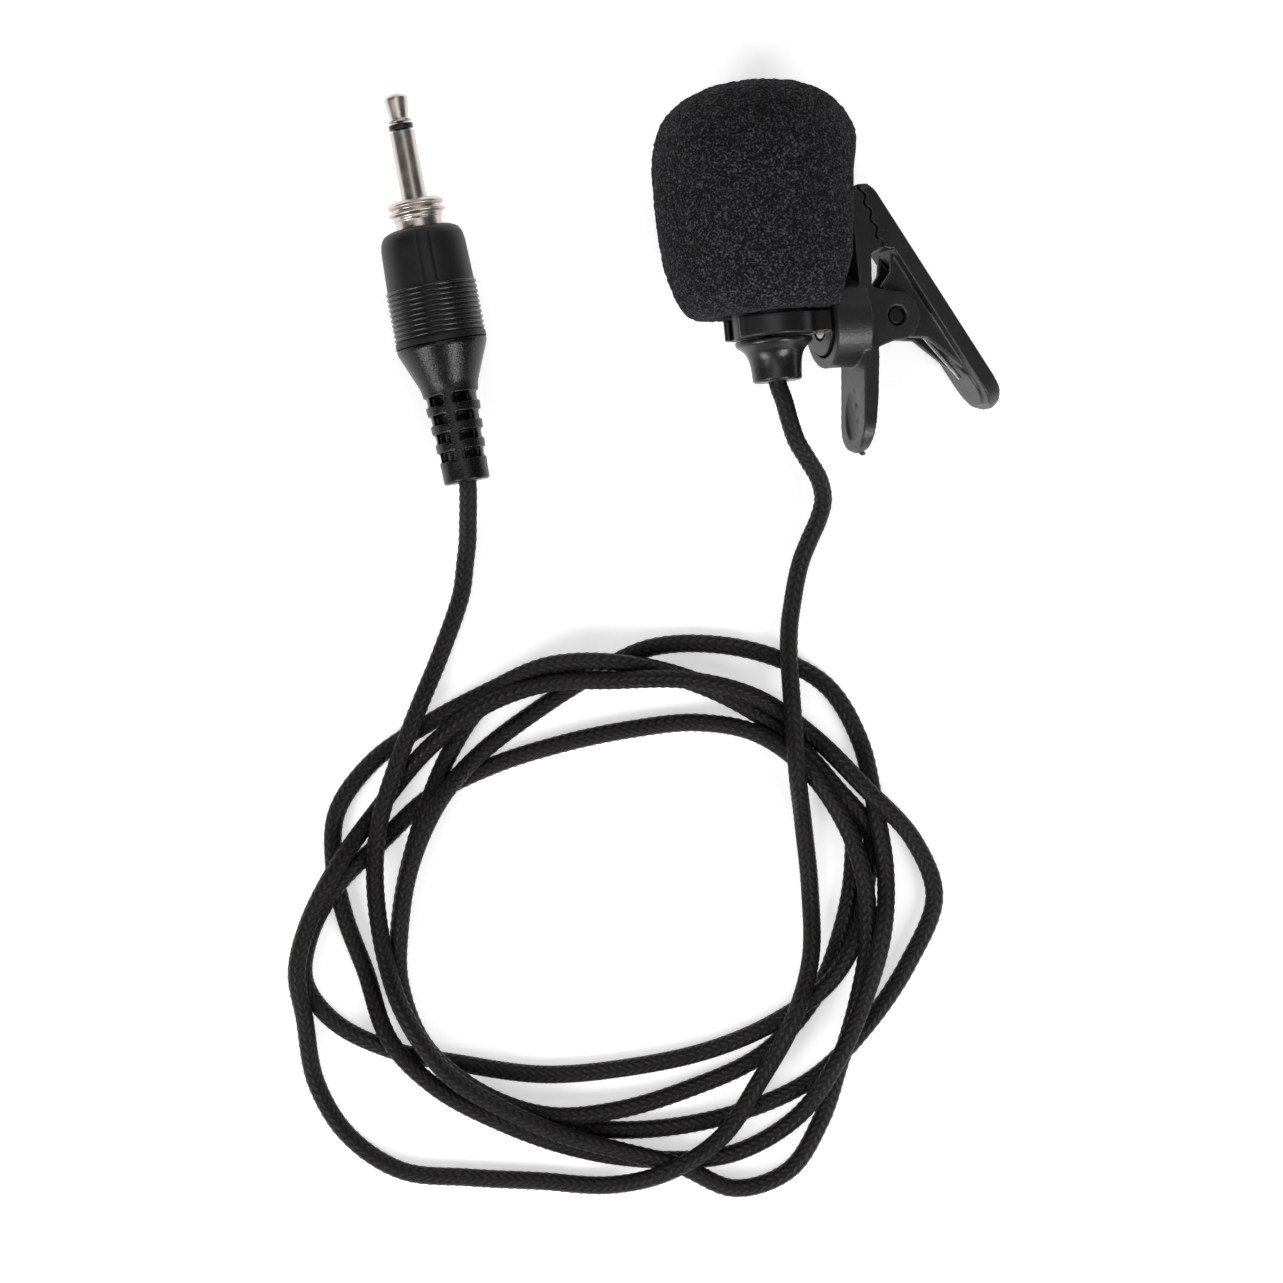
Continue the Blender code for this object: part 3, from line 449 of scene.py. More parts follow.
def open_cell_foam():
    finish = Finish("open_cell_foam", 0.95, Specular_IOR_Level=0.2)
    place = finish.place()
    pores = finish.node("ShaderNodeTexVoronoi", {"feature": "F1"}, {"Vector": place, "Scale": 1900.0})
    pore = Number(finish, pores.outputs["Distance"])
    walls = finish.noise(0.00030, 3.0)
    clumps = finish.noise(0.0012, 2.0)
    height = walls * 0.8 + clumps * 0.35 - pore * 0.4
    # The colour carries painted light: darker in the pores as painted shade, lighter on the struts as painted
    # highlights, over random clumps of tone.
    shade = (walls - 0.50) * 4.2 + (clumps - 0.5) * 0.8 + 0.10 - (pore - 0.4) * 0.5
    shade = shade.math("MAXIMUM", 0.0).math("MINIMUM", 1.0)
    painted_pore_shade, painted_strut_highlight = (0.0052, 0.0054, 0.0060), (0.090, 0.091, 0.096)
    finish.colour(finish.blend(shade, painted_pore_shade, painted_strut_highlight))
    finish.bump(height, 0.00045, 0.9)
    return finish.material


def build_foam():
    front, rear, bore, bore_end = 33.8, 2.1, 5.8, 21.7
    outer = [
        (0.0, front), (4.0, front - 0.1), (7.2, front - 0.8), (9.9, front - 2.1), (11.8, front - 3.7),
        (13.2, front - 5.9), (14.0, front - 8.3), (14.4, front - 11.3), (14.5, front - 14.3),
        (14.5, rear + 14.0), (14.15, rear + 8.4), (13.45, rear + 4.9), (12.4, rear + 2.0),
        (11.5, rear + 0.7), (10.3, rear + 0.05), (bore + 0.8, rear), (bore, rear + 0.6),
        (bore, bore_end - 0.6), (bore - 0.8, bore_end), (0.0, bore_end),
    ]
    knots = [Vector((r, 0.0, z)) for r, z in outer]
    spacing, no_floor = 0.4, -100.0
    path, _ = even_path(knots, spacing, no_floor)
    line = [(abs(x), z) for x, _, z in path]
    line[0] = (0.0, line[0][1])
    line[-1] = (0.0, line[-1][1])
    shape = turned(line, 224)
    shape.normal_update()
    # The jaw's flat and the deeper hollow round its cup, with the reach at which each fades out.
    flat, hollow, clear = 11.25, 6.45, 20.0
    cup_edge, jaw_edge = (6.7, 8.4), (19.9, 24.5)
    dent_softness, side_softness = 0.5, 0.8

    def ramp(value, low, high):
        t = min(max((value - low) / (high - low), 0.0), 1.0)
        return t * t * (3 - 2 * t)

    # How far the foam's clip side reaches across the table at each height, in pairs of
    # (height, reach): the standing jaw holds the whole side back, not just where it touches.
    held_back = [(0.0, 9.2), (4.7, 10.2), (8.2, 11.6), (14.1, 12.3), (20.0, 13.0), (24.0, 14.0), (30.0, 16.0)]
    heights, reaches = zip(*held_back)
    table_way = Vector((mic_way.y, -mic_way.x, 0.0))
    roll = clip_way.dot(table_way)
    lift = clip_up.dot(table_way)
    moves = []
    for vert in shape.verts:
        x, y, z = vert.co
        grain = noise.noise(vert.co * 1.6) * 0.24 + noise.noise(vert.co * 0.45) * 0.12
        inside = math.hypot(x, y) < bore + 0.4 and z > rear + 0.5 and z < bore_end + 0.5
        co = vert.co + vert.normal * (0.0 if inside else grain)
        reach = math.hypot(y, z)
        limit = (hollow + (flat - hollow) * ramp(reach, *cup_edge)
                 + (clear - flat) * ramp(reach, *jaw_edge))
        if not inside and co.x > limit - 1.0:
            over = co.x - limit
            soft = dent_softness
            if over > soft:
                co.x = limit
            elif over > -soft:
                co.x -= (soft + over) ** 2 / (4 * soft)
        if not inside and y < 0.0:
            over = co.x * roll - co.y * lift - float(np.interp(z, heights, reaches))
            soft = side_softness
            if over > -soft:
                over = over if over > soft else (soft + over) ** 2 / (4 * soft)
                co.x -= over * roll
                co.y += over * lift
        moves.append((vert, co))
    for vert, co in moves:
        vert.co = co
    foam = make_piece("windscreen_foam", shape, mic_frame, open_cell_foam(), "windscreen", "foam",
                      "foam_windscreen", sharp=180.0)


build_foam()


# --- Microphone body, grille and boot ------------------------------------------------------
# The housing is a thin black tube. The grille caps its front under the foam, and the boot,
# a glossier moulding, closes its rear and holds the lead.
def moulded_black(name, roughness, shade=0.011, grain=0.00018, depth=0.00001, shine=0.5):
    """Black moulded plastic: fine spark-eroded grain, and a broad drift in its gloss."""
    finish = Finish(name, roughness, Specular_IOR_Level=shine)
    fine = finish.noise(grain, 2.0)
    drift = finish.noise(0.006, 3.0)
    low, high = shade * 0.72, shade * 1.5
    finish.colour(finish.blend(fine * 0.6 + drift * 0.4, (low, low, low * 1.04), (high, high, high * 1.05)))
    finish.rough((fine - 0.5) * 0.25 + (drift - 0.5) * 0.18 + roughness)
    finish.bump(fine, depth)
    return finish.material


def build_body():
    radius, inner, rear, front = 5.5, 5.0, -1.3, 17.0
    housing_line = rounded([
        (inner, front), (radius, front), (radius, rear), (1.7, rear), (1.7, rear + 0.8),
        (inner, rear + 0.8), (inner, front),
    ], 0.15)
    housing = moulded_black("housing_black", 0.42)
    make_piece("housing", turned(housing_line[:-1], 96, closed=True), mic_frame, housing,
               "microphone", "black_plastic", "mic_housing")

    top, foot = 21.4, 17.3
    grille_line = rounded([
        (0.0, top), (radius - 0.1, top), (radius, foot), (inner, foot), (inner, top - 0.6), (0.0, top - 0.6),
    ], 0.5)
    grille = turned(grille_line, 96)
    grille_piece = make_piece("grille", grille, Matrix.Identity(4), housing, "microphone",
                              "black_plastic", "capsule_grille")
    holes = bmesh.new()
    for ring_radius, count in ((1.6, 6), (3.4, 12)):
        for i in range(count):
            angle = 2 * math.pi * i / count
            middle = Vector((ring_radius * math.cos(angle), ring_radius * math.sin(angle), top))
            bmesh.ops.create_cone(holes, cap_ends=True, segments=20, radius1=0.5, radius2=0.5, depth=3.0,
                                  matrix=Matrix.Translation(middle))
    cut(grille_piece, holes, "DIFFERENCE")
    settle(grille_piece, mic_frame)

    boot_top, boot_end = -1.6, -7.5
    boot_line = rounded([
        (1.3, boot_top), (5.4, boot_top), (5.35, boot_top - 0.7), (4.7, boot_top - 1.15),
        (4.1, boot_top - 1.7), (3.7, boot_top - 2.6), (3.5, boot_top - 3.9), (3.42, boot_end + 0.25),
        (3.1, boot_end), (1.35, boot_end), (1.3, boot_top),
    ], 0.35)
    gloss = moulded_black("boot_gloss", 0.30, shade=0.009, depth=0.000004)
    make_piece("boot", turned(boot_line[:-1], 96, closed=True), mic_frame, gloss, "microphone",
               "gloss_plastic", "rear_boot")


def cut(piece, tool_shape, operation):
    """Apply one exact Boolean with a throwaway tool made from a bmesh."""
    bmesh.ops.recalc_face_normals(tool_shape, faces=tool_shape.faces)
    mesh = bpy.data.meshes.new("tool")
    tool_shape.to_mesh(mesh)
    tool_shape.free()
    tool = bpy.data.objects.new("tool", mesh)
    bpy.context.scene.collection.objects.link(tool)
    boolean = piece.modifiers.new("cut", "BOOLEAN")
    boolean.operation = operation
    boolean.solver = "EXACT"
    boolean.object = tool
    evaluate(piece)
    bpy.data.objects.remove(tool)


def evaluate(piece):
    """Turn the piece's modifiers into its plain mesh."""
    bpy.context.view_layer.update()
    evaluated = piece.evaluated_get(bpy.context.evaluated_depsgraph_get())
    mesh = bpy.data.meshes.new_from_object(evaluated)
    piece.modifiers.clear()
    piece.data = mesh


def settle(piece, place, sharp=40.0):
    """Move a piece made in local millimetres to its place in the world."""
    piece.data.transform(place)
    piece.data.shade_smooth()
    piece.data.set_sharp_from_angle(angle=math.radians(sharp))


build_body()


# --- Clip: jaws -----------------------------------------------------------------------------
# Two jaws moulded in fine-grained black plastic. Their edges are softly rounded, the base
# jaw carries a cup for the swivel and two ears for the pin, and both handles are thumb pads.
opening = joints["clip_open"]
pin_centre = Vector(opening["pos_m"])
jaw_slope = math.radians(29.4)
jaw_out = clip_way * math.cos(jaw_slope) + mic_way * math.sin(jaw_slope)
jaw_along = mic_way * math.cos(jaw_slope) - clip_way * math.sin(jaw_slope)
hinge_frame = frame_at(pin_centre, clip_way, mic_way, clip_up)
front_frame = frame_at(pin_centre, jaw_out, jaw_along, clip_up)
jaw_half = 4.4
pin_at = ((pin_centre - mic_centre).dot(clip_way) * 1000, (pin_centre - mic_centre).dot(mic_way) * 1000)
pin_hole = 1.13
nose_radius = 1.5
# Takes a plan drawn along and across a jaw to the jaw's own axes.
plan_turn = Matrix(((0, 0, 1, 0), (1, 0, 0, 0), (0, 1, 0, 0), (0, 0, 0, 1)))


def slab(outline, low, high, turn=Matrix.Identity(4)):
    """A bmesh plate with the outline in xy, from low to high along z."""
    shape = bmesh.new()
    floor = [shape.verts.new((x, y, low)) for x, y in outline]
    roof = [shape.verts.new((x, y, high)) for x, y in outline]
    shape.faces.new(list(reversed(floor)))
    shape.faces.new(roof)
    for i in range(len(outline)):
        n = (i + 1) % len(outline)
        shape.faces.new((floor[i], floor[n], roof[n], roof[i]))
    bmesh.ops.recalc_face_normals(shape, faces=shape.faces)
    shape.transform(turn)
    return shape


def rod(radius, low, high, axis="Z", centre=(0.0, 0.0), steps=64):
    """A bmesh cylinder along local x or z."""
    shape = bmesh.new()
    bmesh.ops.create_cone(shape, cap_ends=True, segments=steps, radius1=radius, radius2=radius,
                          depth=high - low)
    a, b = centre
    middle = (low + high) / 2
    if axis == "X":
        shape.transform(Matrix.Translation((middle, a, b)) @ Matrix.Rotation(math.pi / 2, 4, "Y"))
    else:
        shape.transform(Matrix.Translation((a, b, middle)))
    return shape


def ball(centre, size, steps=40):
    shape = bmesh.new()
    bmesh.ops.create_uvsphere(shape, u_segments=steps, v_segments=steps // 2, radius=1.0)
    shape.transform(Matrix.Translation(centre) @ Matrix.Diagonal((*size, 1.0)))
    return shape


def arc(centre, radius, start, end, steps):
    points = []
    for i in range(steps + 1):
        angle = math.radians(start + (end - start) * i / steps)
        points.append((centre[0] + radius * math.cos(angle), centre[1] + radius * math.sin(angle)))
    return points


def paddle(tail, nose, half):
    """Plan of a jaw: a half-round handle end and rounded corners at the tip."""
    points = arc((tail + half, 0.0), half, 90, 270, 32)
    points += arc((nose - nose_radius, -half + nose_radius), nose_radius, 270, 360, 8)
    points += arc((nose - nose_radius, half - nose_radius), nose_radius, 0, 90, 8)
    return points


def tooth_line(offset):
    low, high = Vector((15.7, 9.6)), Vector((13.1, 18.6))
    along = (high - low).normalized()
    across = Vector((along.y, -along.x))
    teeth, height, steps = 4, 0.28, 48
    points = []
    for i in range(steps + 1):
        wave = height * math.sin(2 * math.pi * teeth * i / steps)
        points.append(tuple(low.lerp(high, i / steps) + across * (wave + offset)))
    return points


def plain_piece(name, shape):
    mesh = bpy.data.meshes.new(name)
    shape.to_mesh(mesh)
    shape.free()
    piece = bpy.data.objects.new(name, mesh)
    bpy.context.scene.collection.objects.link(piece)
    return piece


def soften(piece, voxel, smoothing=4):
    """Round every edge a little, as a moulding's are: even quads, then smoothed."""
    remesh = piece.modifiers.new("remesh", "REMESH")
    remesh.mode = "VOXEL"
    remesh.voxel_size = voxel
    smooth = piece.modifiers.new("smooth", "SMOOTH")
    smooth.factor = 0.5
    smooth.iterations = smoothing
    evaluate(piece)


def finish_moulding(piece, place, material, body, slot, *nodes):
    piece.data.materials.clear()
    piece.data.materials.append(material)
    settle(piece, place, sharp=60.0)
    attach(piece, body)
    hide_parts(*nodes)


clip_black = moulded_black("clip_black", 0.38, shade=0.018, grain=0.00028, depth=0.00003)
voxel = 0.15


def build_base_jaw():
    cup_radius, cup_face, back_face, hub = 6.2, 7.3, 11.7, 4.4
    outline = tooth_line(-0.15) + [
        (12.5, 18.3), (12.0, 16.8), (back_face, 13.5), (back_face, -2.6), (10.95, -10.0), (10.2, -16.6),
        (10.35, -17.6), (10.95, -18.3), (11.65, -17.7), (12.0, -16.1), (13.0, -10.7), (13.75, -4.8),
        (13.65, 0.0), (13.6, 4.4), (14.0, 8.9),
    ]
    jaw = plain_piece("clip_base_jaw", slab(outline, -jaw_half, jaw_half))
    cut(jaw, slab(paddle(-18.3, 18.9, jaw_half - 0.02), -30.0, 30.0, plan_turn), "INTERSECT")
    ear = [(12.9, 4.6), (15.4, 3.8)] + arc(pin_at, 3.4, 90, -100, 32) + [(12.9, -4.3)]
    for side in (-1, 1):
        middle = side * (jaw_half - 0.65)
        cut(jaw, slab(ear, middle - 0.6, middle + 0.6), "UNION")
    cut(jaw, rod(cup_radius, cup_face, back_face + 0.8, "X", steps=96), "UNION")
    cut(jaw, rod(hub + 0.3, 5.0, cup_face + 1.9, "X"), "DIFFERENCE")
    cut(jaw, rod(1.2, 5.0, 20.0, "X"), "DIFFERENCE")
    cut(jaw, rod(2.3, 12.7, 20.0, "X"), "DIFFERENCE")
    cut(jaw, rod(pin_hole + 0.25, -6.0, 6.0, centre=pin_at), "DIFFERENCE")
    # The thumb recess in the handle's outer face, with three grip bumps in it.
    cut(jaw, ball((10.35, -11.9, 0.0), (0.85, 4.6, 2.9)), "DIFFERENCE")
    bumps, bump_pitch = 3, 2.1
    for i in range(bumps):
        cut(jaw, ball((11.35, -9.6 - bump_pitch * i, 0.0), (0.42, 0.55, 0.9)), "UNION")
    cut(jaw, ball((11.3, -18.35, 0.6), (0.45, 0.3, 0.45)), "UNION")
    soften(jaw, voxel)
    finish_moulding(jaw, clip_frame, clip_black, "clip_back_jaw", "black_plastic", "base_jaw")


def build_front_jaw():
    outer, inner = 7.35, 5.0
    pin = Vector(pin_at)

    def along_jaw(point):
        local = Vector(point) - pin
        return (local.x * math.cos(jaw_slope) + local.y * math.sin(jaw_slope),
                local.y * math.cos(jaw_slope) - local.x * math.sin(jaw_slope))

    teeth = [along_jaw(point) for point in tooth_line(0.15)]
    body = [
        (6.9, 17.4), (outer, 15.9), (outer, -16.6), (6.9, -18.2), (6.2, -19.0), (5.5, -18.8),
        (inner, -17.7), (inner, 7.9), (4.4, 8.2),
    ]
    jaw = plain_piece("clip_front_jaw", slab(teeth + body, -jaw_half, jaw_half))
    cut(jaw, slab(paddle(-19.0, 18.1, jaw_half - 0.02), -30.0, 30.0, plan_turn), "INTERSECT")
    hub = arc((0, 0), 2.85, 100 - 29.4, 250 - 29.4, 24)
    web = [(5.6, 8.0), (3.4, 5.2), (1.1, 4.4)] + hub + [(2.6, -5.2), (5.6, -13.5)]
    for side in (-1, 1):
        cut(jaw, slab(web, side * 2.3 - 0.5, side * 2.3 + 0.5), "UNION")
    cut(jaw, rod(pin_hole, -6.0, 6.0), "DIFFERENCE")
    pad = rod(1.0, 4.72, 5.4, "X")
    pad.transform(Matrix.Translation((0.0, -14.4, 0.0)) @ Matrix.Diagonal((1.0, 3.3, 2.9, 1.0)))
    cut(jaw, pad, "UNION")
    soften(jaw, voxel)
    finish_moulding(jaw, front_frame, clip_black, "clip_front_jaw", "black_plastic", "front_jaw")


build_base_jaw()
build_front_jaw()


# --- Clip: holder ring ----------------------------------------------------------------------
# A springy C of the same plastic that snaps round the body. Its lips curl outwards at the
# mouth, and the hub on its other side turns in the base jaw's cup.
def build_ring():
    rear, front, inner, outer = -1.3, 1.7, 5.65, 6.5
    mouth, lip = math.radians(28.0), 0.52
    steps = 120
    line = rounded([(inner, rear), (outer, rear), (outer, front), (inner, front), (inner, rear)], 0.2)[:-1]
    shape = bmesh.new()
    sections = []
    for i in range(steps + 1):
        angle = -math.pi + mouth + (2 * math.pi - 2 * mouth) * i / steps
        section = [shape.verts.new((r * math.cos(angle), r * math.sin(angle), z)) for r, z in line]
        sections.append(section)
    for one, two in zip(sections, sections[1:]):
        for k in range(len(line)):
            n = (k + 1) % len(line)
            shape.faces.new((one[k], one[n], two[n], two[k]))
    shape.faces.new(sections[0])
    shape.faces.new(list(reversed(sections[-1])))
    bmesh.ops.recalc_face_normals(shape, faces=shape.faces)
    ring = plain_piece("clip_ring", shape)
    for side in (-1, 1):
        angle = math.pi - side * mouth
        middle = ((inner + outer) / 2 + 0.12, side)
        place = (middle[0] * math.cos(angle), middle[0] * math.sin(angle))
        cut(ring, rod(lip, rear + 0.05, front - 0.05, centre=place, steps=32), "UNION")
    arm = slab([(3.0, -4.6), (7.0, -4.6), (7.0, 4.6), (3.0, 4.6)], rear + 0.05, front - 0.05)
    cut(ring, arm, "UNION")
    cut(ring, rod(inner, -6.0, 6.0, steps=96), "DIFFERENCE")
    hub = rod(4.4, 6.95, 8.9, "X", steps=96)
    cut(ring, hub, "UNION")
    for radius, low, high in ((1.2, 6.8, 10.0), (2.3, 6.8, 7.9)):
        cut(ring, rod(radius, low, high, "X"), "DIFFERENCE")
    soften(ring, 0.12, 3)
    finish_moulding(ring, mic_frame, moulded_black("ring_black", 0.36, shade=0.010), "microphone",
                    "black_plastic", "holder_ring")


build_ring()


# --- Clip: pin and spring ---------------------------------------------------------------------
# A black pin pressed into the ears, and a torsion spring of bright wire wound round it whose
# legs lie along the two handles.
def bright_metal(name, tint, roughness, way, line_size=0.00012, depth=0.000003):
    """Plated or drawn metal with fine lines round or along its axis."""
    finish = Finish(name, roughness, metallic=1.0)
    product = finish.node("ShaderNodeVectorMath", {"operation": "DOT_PRODUCT"}, {0: finish.place()})
    product.inputs[1].default_value = way
    height = Number(finish, product.outputs["Value"])
    lines = Number(finish, finish.node("ShaderNodeTexNoise", {"noise_dimensions": "1D"}, {
        "W": height, "Scale": 1.0 / line_size, "Detail": 3.0}).outputs["Fac"])
    stain = finish.noise(0.0015, 4.0)
    low = tuple(value * 0.80 for value in tint)
    finish.colour(finish.blend(stain * 0.7 + lines * 0.3, low, tint))
    finish.rough((stain - 0.5) * 0.25 + (lines - 0.5) * 0.12 + roughness)
    finish.bump(lines, depth)
    return finish.material


def bent_wire(path, lapped=0):
    """A round 0.6 mm wire along a line of points, its first few a shade thinner."""
    curve = bpy.data.curves.new("wire", "CURVE")
    curve.dimensions = "3D"
    curve.bevel_depth = 0.3
    curve.bevel_resolution = 4
    curve.use_fill_caps = True
    spline = curve.splines.new("POLY")
    spline.points.add(len(path) - 1)
    for i, place in enumerate(path):
        spline.points[i].co = (*place, 1.0)
        spline.points[i].radius = 0.9 if i < lapped else 1.0
    guide = bpy.data.objects.new("wire_guide", curve)
    bpy.context.scene.collection.objects.link(guide)
    bpy.context.view_layer.update()
    evaluated = guide.evaluated_get(bpy.context.evaluated_depsgraph_get())
    shape = bmesh.new()
    shape.from_mesh(bpy.data.meshes.new_from_object(evaluated))
    bpy.data.objects.remove(guide)
    bmesh.ops.remove_doubles(shape, verts=shape.verts, dist=0.001)
    bmesh.ops.recalc_face_normals(shape, faces=shape.faces)
    return shape


def build_pin_and_spring():
    half = 4.0
    line = rounded([(0.0, half), (1.05, half), (1.05, -half), (0.0, -half)], 0.2)
    pin_black = moulded_black("pin_black", 0.34, shade=0.009)
    make_piece("pin", turned(line, 48), hinge_frame, pin_black, "clip_back_jaw", "black_plastic", "hinge_pin")

    coils, radius, half_height = 3, 2.1, 1.15
    start, stop = 181.0, 40.0 - 360.0 * coils
    per_turn, lap = 40, 4
    steps = per_turn * coils
    coil = []
    for i in range(steps + 1):
        angle = math.radians(start + (stop - start) * i / steps)
        height = -half_height + 2 * half_height * i / steps
        coil.append((radius * math.cos(angle), radius * math.sin(angle), height))
    # The last turn and its leg go with the front jaw, and lap the fixed turns as the clip opens.
    split = steps - per_turn
    fixed = [(-2.7, -8.0, -half_height)] + coil[:split + 1]
    moving = coil[split - lap:] + [(9.9, -9.1, half_height)]
    steel = bright_metal("spring_wire", (0.60, 0.60, 0.59), 0.28, tuple(clip_up))
    make_piece("spring", bent_wire(fixed), hinge_frame, steel, "clip_back_jaw", "spring_steel", "clip_spring")
    make_piece("spring_leg", bent_wire(moving, lap), hinge_frame, steel, "clip_front_jaw", "spring_steel")


build_pin_and_spring()


# --- Plug: jack, collar and barrel ---------------------------------------------------------------
# A nickel-plated 3.5 mm jack with a threaded locking collar. The collar turns with the barrel,
# a satin PVC moulding with glossier rings for the fingers.
lock = joints["plug_lock_turn"]
plug_way = Vector(lock["axis"]).normalized()
plug_side = plug_way.cross(Vector((0.0, 0.0, 1.0)))
plug_frame = frame_at(Vector(lock["pos_m"]), plug_side, plug_way.cross(plug_side), plug_way)
nickel = bright_metal("warm_nickel", (0.72, 0.655, 0.595), 0.34, tuple(plug_way))


def build_jack():
    length, band_top, sleeve_top, grip_top, radius = 55.2, 50.7, 49.7, 36.0, 1.75
    tip_line = rounded([
        (0.0, length), (0.4, length - 0.08), (1.3, length - 0.42), (1.66, length - 0.8),
        (1.64, length - 1.2), (1.28, band_top + 0.75), (1.64, band_top + 0.62),
        (1.68, band_top + 0.3), (0.5, band_top + 0.3), (0.5, 20.0), (0.0, 20.0),
    ], 0.12)
    make_piece("jack_tip", turned(tip_line, 64), plug_frame, nickel, "microphone", "nickel", "plug_tip")
    band_line = rounded([
        (0.8, 24.5), (0.8, band_top), (radius - 0.05, band_top), (radius - 0.05, sleeve_top + 0.3),
        (1.15, sleeve_top + 0.3), (1.15, 24.5), (0.8, 24.5),
    ], 0.06)
    band = moulded_black("jack_band", 0.35, shade=0.01)
    make_piece("jack_band", turned(band_line[:-1], 64, closed=True), plug_frame, band, "microphone",
               "soft_pvc", "tip_insulator")
    sleeve_line = rounded([
        (1.45, 23.0), (1.45, sleeve_top), (radius, sleeve_top), (radius, grip_top - 2.0),
        (2.5, grip_top - 2.0), (2.5, 23.0), (1.45, 23.0),
    ], 0.1)
    make_piece("jack_sleeve", turned(sleeve_line[:-1], 64, closed=True), plug_frame, nickel,
               "microphone", "nickel", "plug_sleeve")


def build_collar():
    grip_top, top, bore = 36.0, 39.9, 1.95
    crest, root, thread_pitch = 4.0, 3.42, 1.05
    line = [(3.3, top), (3.75, top - 0.35)]
    for i in range(2):
        start = top - 0.45 - i * thread_pitch
        line += [(crest - 0.1 + 0.1 * i, start), (crest - 0.05 * (1 - i), start - 0.32),
                 (root, start - 0.6), (root, start - thread_pitch + 0.05)]
    line += [(3.2, top - 2.75), (3.2, grip_top - 1.4), (bore, grip_top - 1.4), (bore, top), (3.3, top)]
    shape = turned(rounded(line, 0.12)[:-1], 96, closed=True)
    make_piece("locking_collar", shape, plug_frame, nickel, "plug_lock", "nickel", "lock_collar")


def rib_rings(material):
    """Geometry nodes that stack thin rings along z, one pitch apart."""
    tree = bpy.data.node_groups.new("rib_rings", "GeometryNodeTree")
    face = tree.interface
    face.new_socket("Geometry", in_out="INPUT", socket_type="NodeSocketGeometry")
    face.new_socket("Count", in_out="INPUT", socket_type="NodeSocketInt")
    for size in ("Pitch", "Start", "Ring radius", "Rib radius"):
        face.new_socket(size, in_out="INPUT", socket_type="NodeSocketFloat")
    face.new_socket("Geometry", in_out="OUTPUT", socket_type="NodeSocketGeometry")
    nodes, links = tree.nodes, tree.links
    given = nodes.new("NodeGroupInput")
    step = nodes.new("ShaderNodeCombineXYZ")
    foot = nodes.new("ShaderNodeCombineXYZ")
    links.new(given.outputs["Pitch"], step.inputs["Z"])
    links.new(given.outputs["Start"], foot.inputs["Z"])
    row = nodes.new("GeometryNodeMeshLine")
    row.mode = "OFFSET"
    links.new(given.outputs["Count"], row.inputs["Count"])
    links.new(foot.outputs[0], row.inputs["Start Location"])
    links.new(step.outputs[0], row.inputs["Offset"])
    hoop = nodes.new("GeometryNodeCurvePrimitiveCircle")
    hoop.inputs["Resolution"].default_value = 96
    links.new(given.outputs["Ring radius"], hoop.inputs["Radius"])
    section = nodes.new("GeometryNodeCurvePrimitiveCircle")
    section.inputs["Resolution"].default_value = 10
    links.new(given.outputs["Rib radius"], section.inputs["Radius"])
    rib = nodes.new("GeometryNodeCurveToMesh")
    links.new(hoop.outputs[0], rib.inputs["Curve"])
    links.new(section.outputs[0], rib.inputs["Profile Curve"])
    copies = nodes.new("GeometryNodeInstanceOnPoints")
    links.new(row.outputs[0], copies.inputs["Points"])
    links.new(rib.outputs[0], copies.inputs["Instance"])
    real = nodes.new("GeometryNodeRealizeInstances")
    links.new(copies.outputs[0], real.inputs[0])
    painted = nodes.new("GeometryNodeSetMaterial")
    painted.inputs["Material"].default_value = material
    links.new(real.outputs[0], painted.inputs[0])
    links.new(painted.outputs[0], nodes.new("NodeGroupOutput").inputs[0])
    return tree


def grow(name, tree, inputs):
    """Run a geometry tree with its named inputs and keep the plain mesh it makes."""
    piece = bpy.data.objects.new(name, bpy.data.meshes.new(name))
    bpy.context.scene.collection.objects.link(piece)
    growth = piece.modifiers.new("growth", "NODES")
    growth.node_group = tree
    for socket in tree.interface.items_tree:
        if socket.in_out == "INPUT" and socket.name in inputs:
            growth[socket.identifier] = inputs[socket.name]
    evaluate(piece)
    return piece


def build_barrel():
    top, foot, radius, wall, inner = 36.0, 19.66, 6.4, 5.0, 3.5
    rib_count, pitch, rib, rib_ring = 10, 0.72, 0.25, 6.15
    zone_top = top - 8.2
    zone_end = zone_top - rib_count * pitch
    satin = moulded_black("barrel_pvc", 0.48, shade=0.006, grain=0.0004, depth=0.000006, shine=0.4)
    shoulder = [
        (inner, top - 1.7), (inner, top), (4.3, top - 0.1), (5.3, top - 0.6), (5.75, top - 1.4),
        (5.95, top - 2.6), (6.12, zone_top + 0.15), (rib_ring, zone_top), (rib_ring, zone_end),
        (radius - 0.03, zone_end - 0.1), (radius, foot + 0.4),
    ]
    line = rounded(shoulder, 0.3) + [Vector((radius, foot)), Vector((wall, foot)), Vector((wall, top - 1.7))]
    steps = 144
    shape = turned(line, steps, closed=True)
    # Two faint lengthwise parting lines in the smooth front of the barrel.
    parting_lines, sunk = (-95.0, -77.5), 0.975
    for vert in shape.verts:
        angle = math.degrees(math.atan2(vert.co.y, vert.co.x))
        smooth_front = zone_top + 0.1 < vert.co.z < top - 0.9 and vert.co.xy.length > wall
        if smooth_front and any(abs(angle - line_at) < 1.0 for line_at in parting_lines):
            vert.co.xy *= sunk
    make_piece("barrel", shape, plug_frame, satin, "plug_lock", "soft_pvc", "grip_sleeve")
    polished = moulded_black("rib_pvc", 0.24, shade=0.008, grain=0.0005, depth=0.00001)
    ribs = grow("barrel_ribs", rib_rings(polished), {
        "Count": rib_count, "Pitch": pitch, "Start": zone_end + pitch / 2, "Ring radius": rib_ring,
        "Rib radius": rib})
    settle(ribs, plug_frame)
    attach(ribs, "plug_lock")


build_jack()
build_collar()
build_barrel()


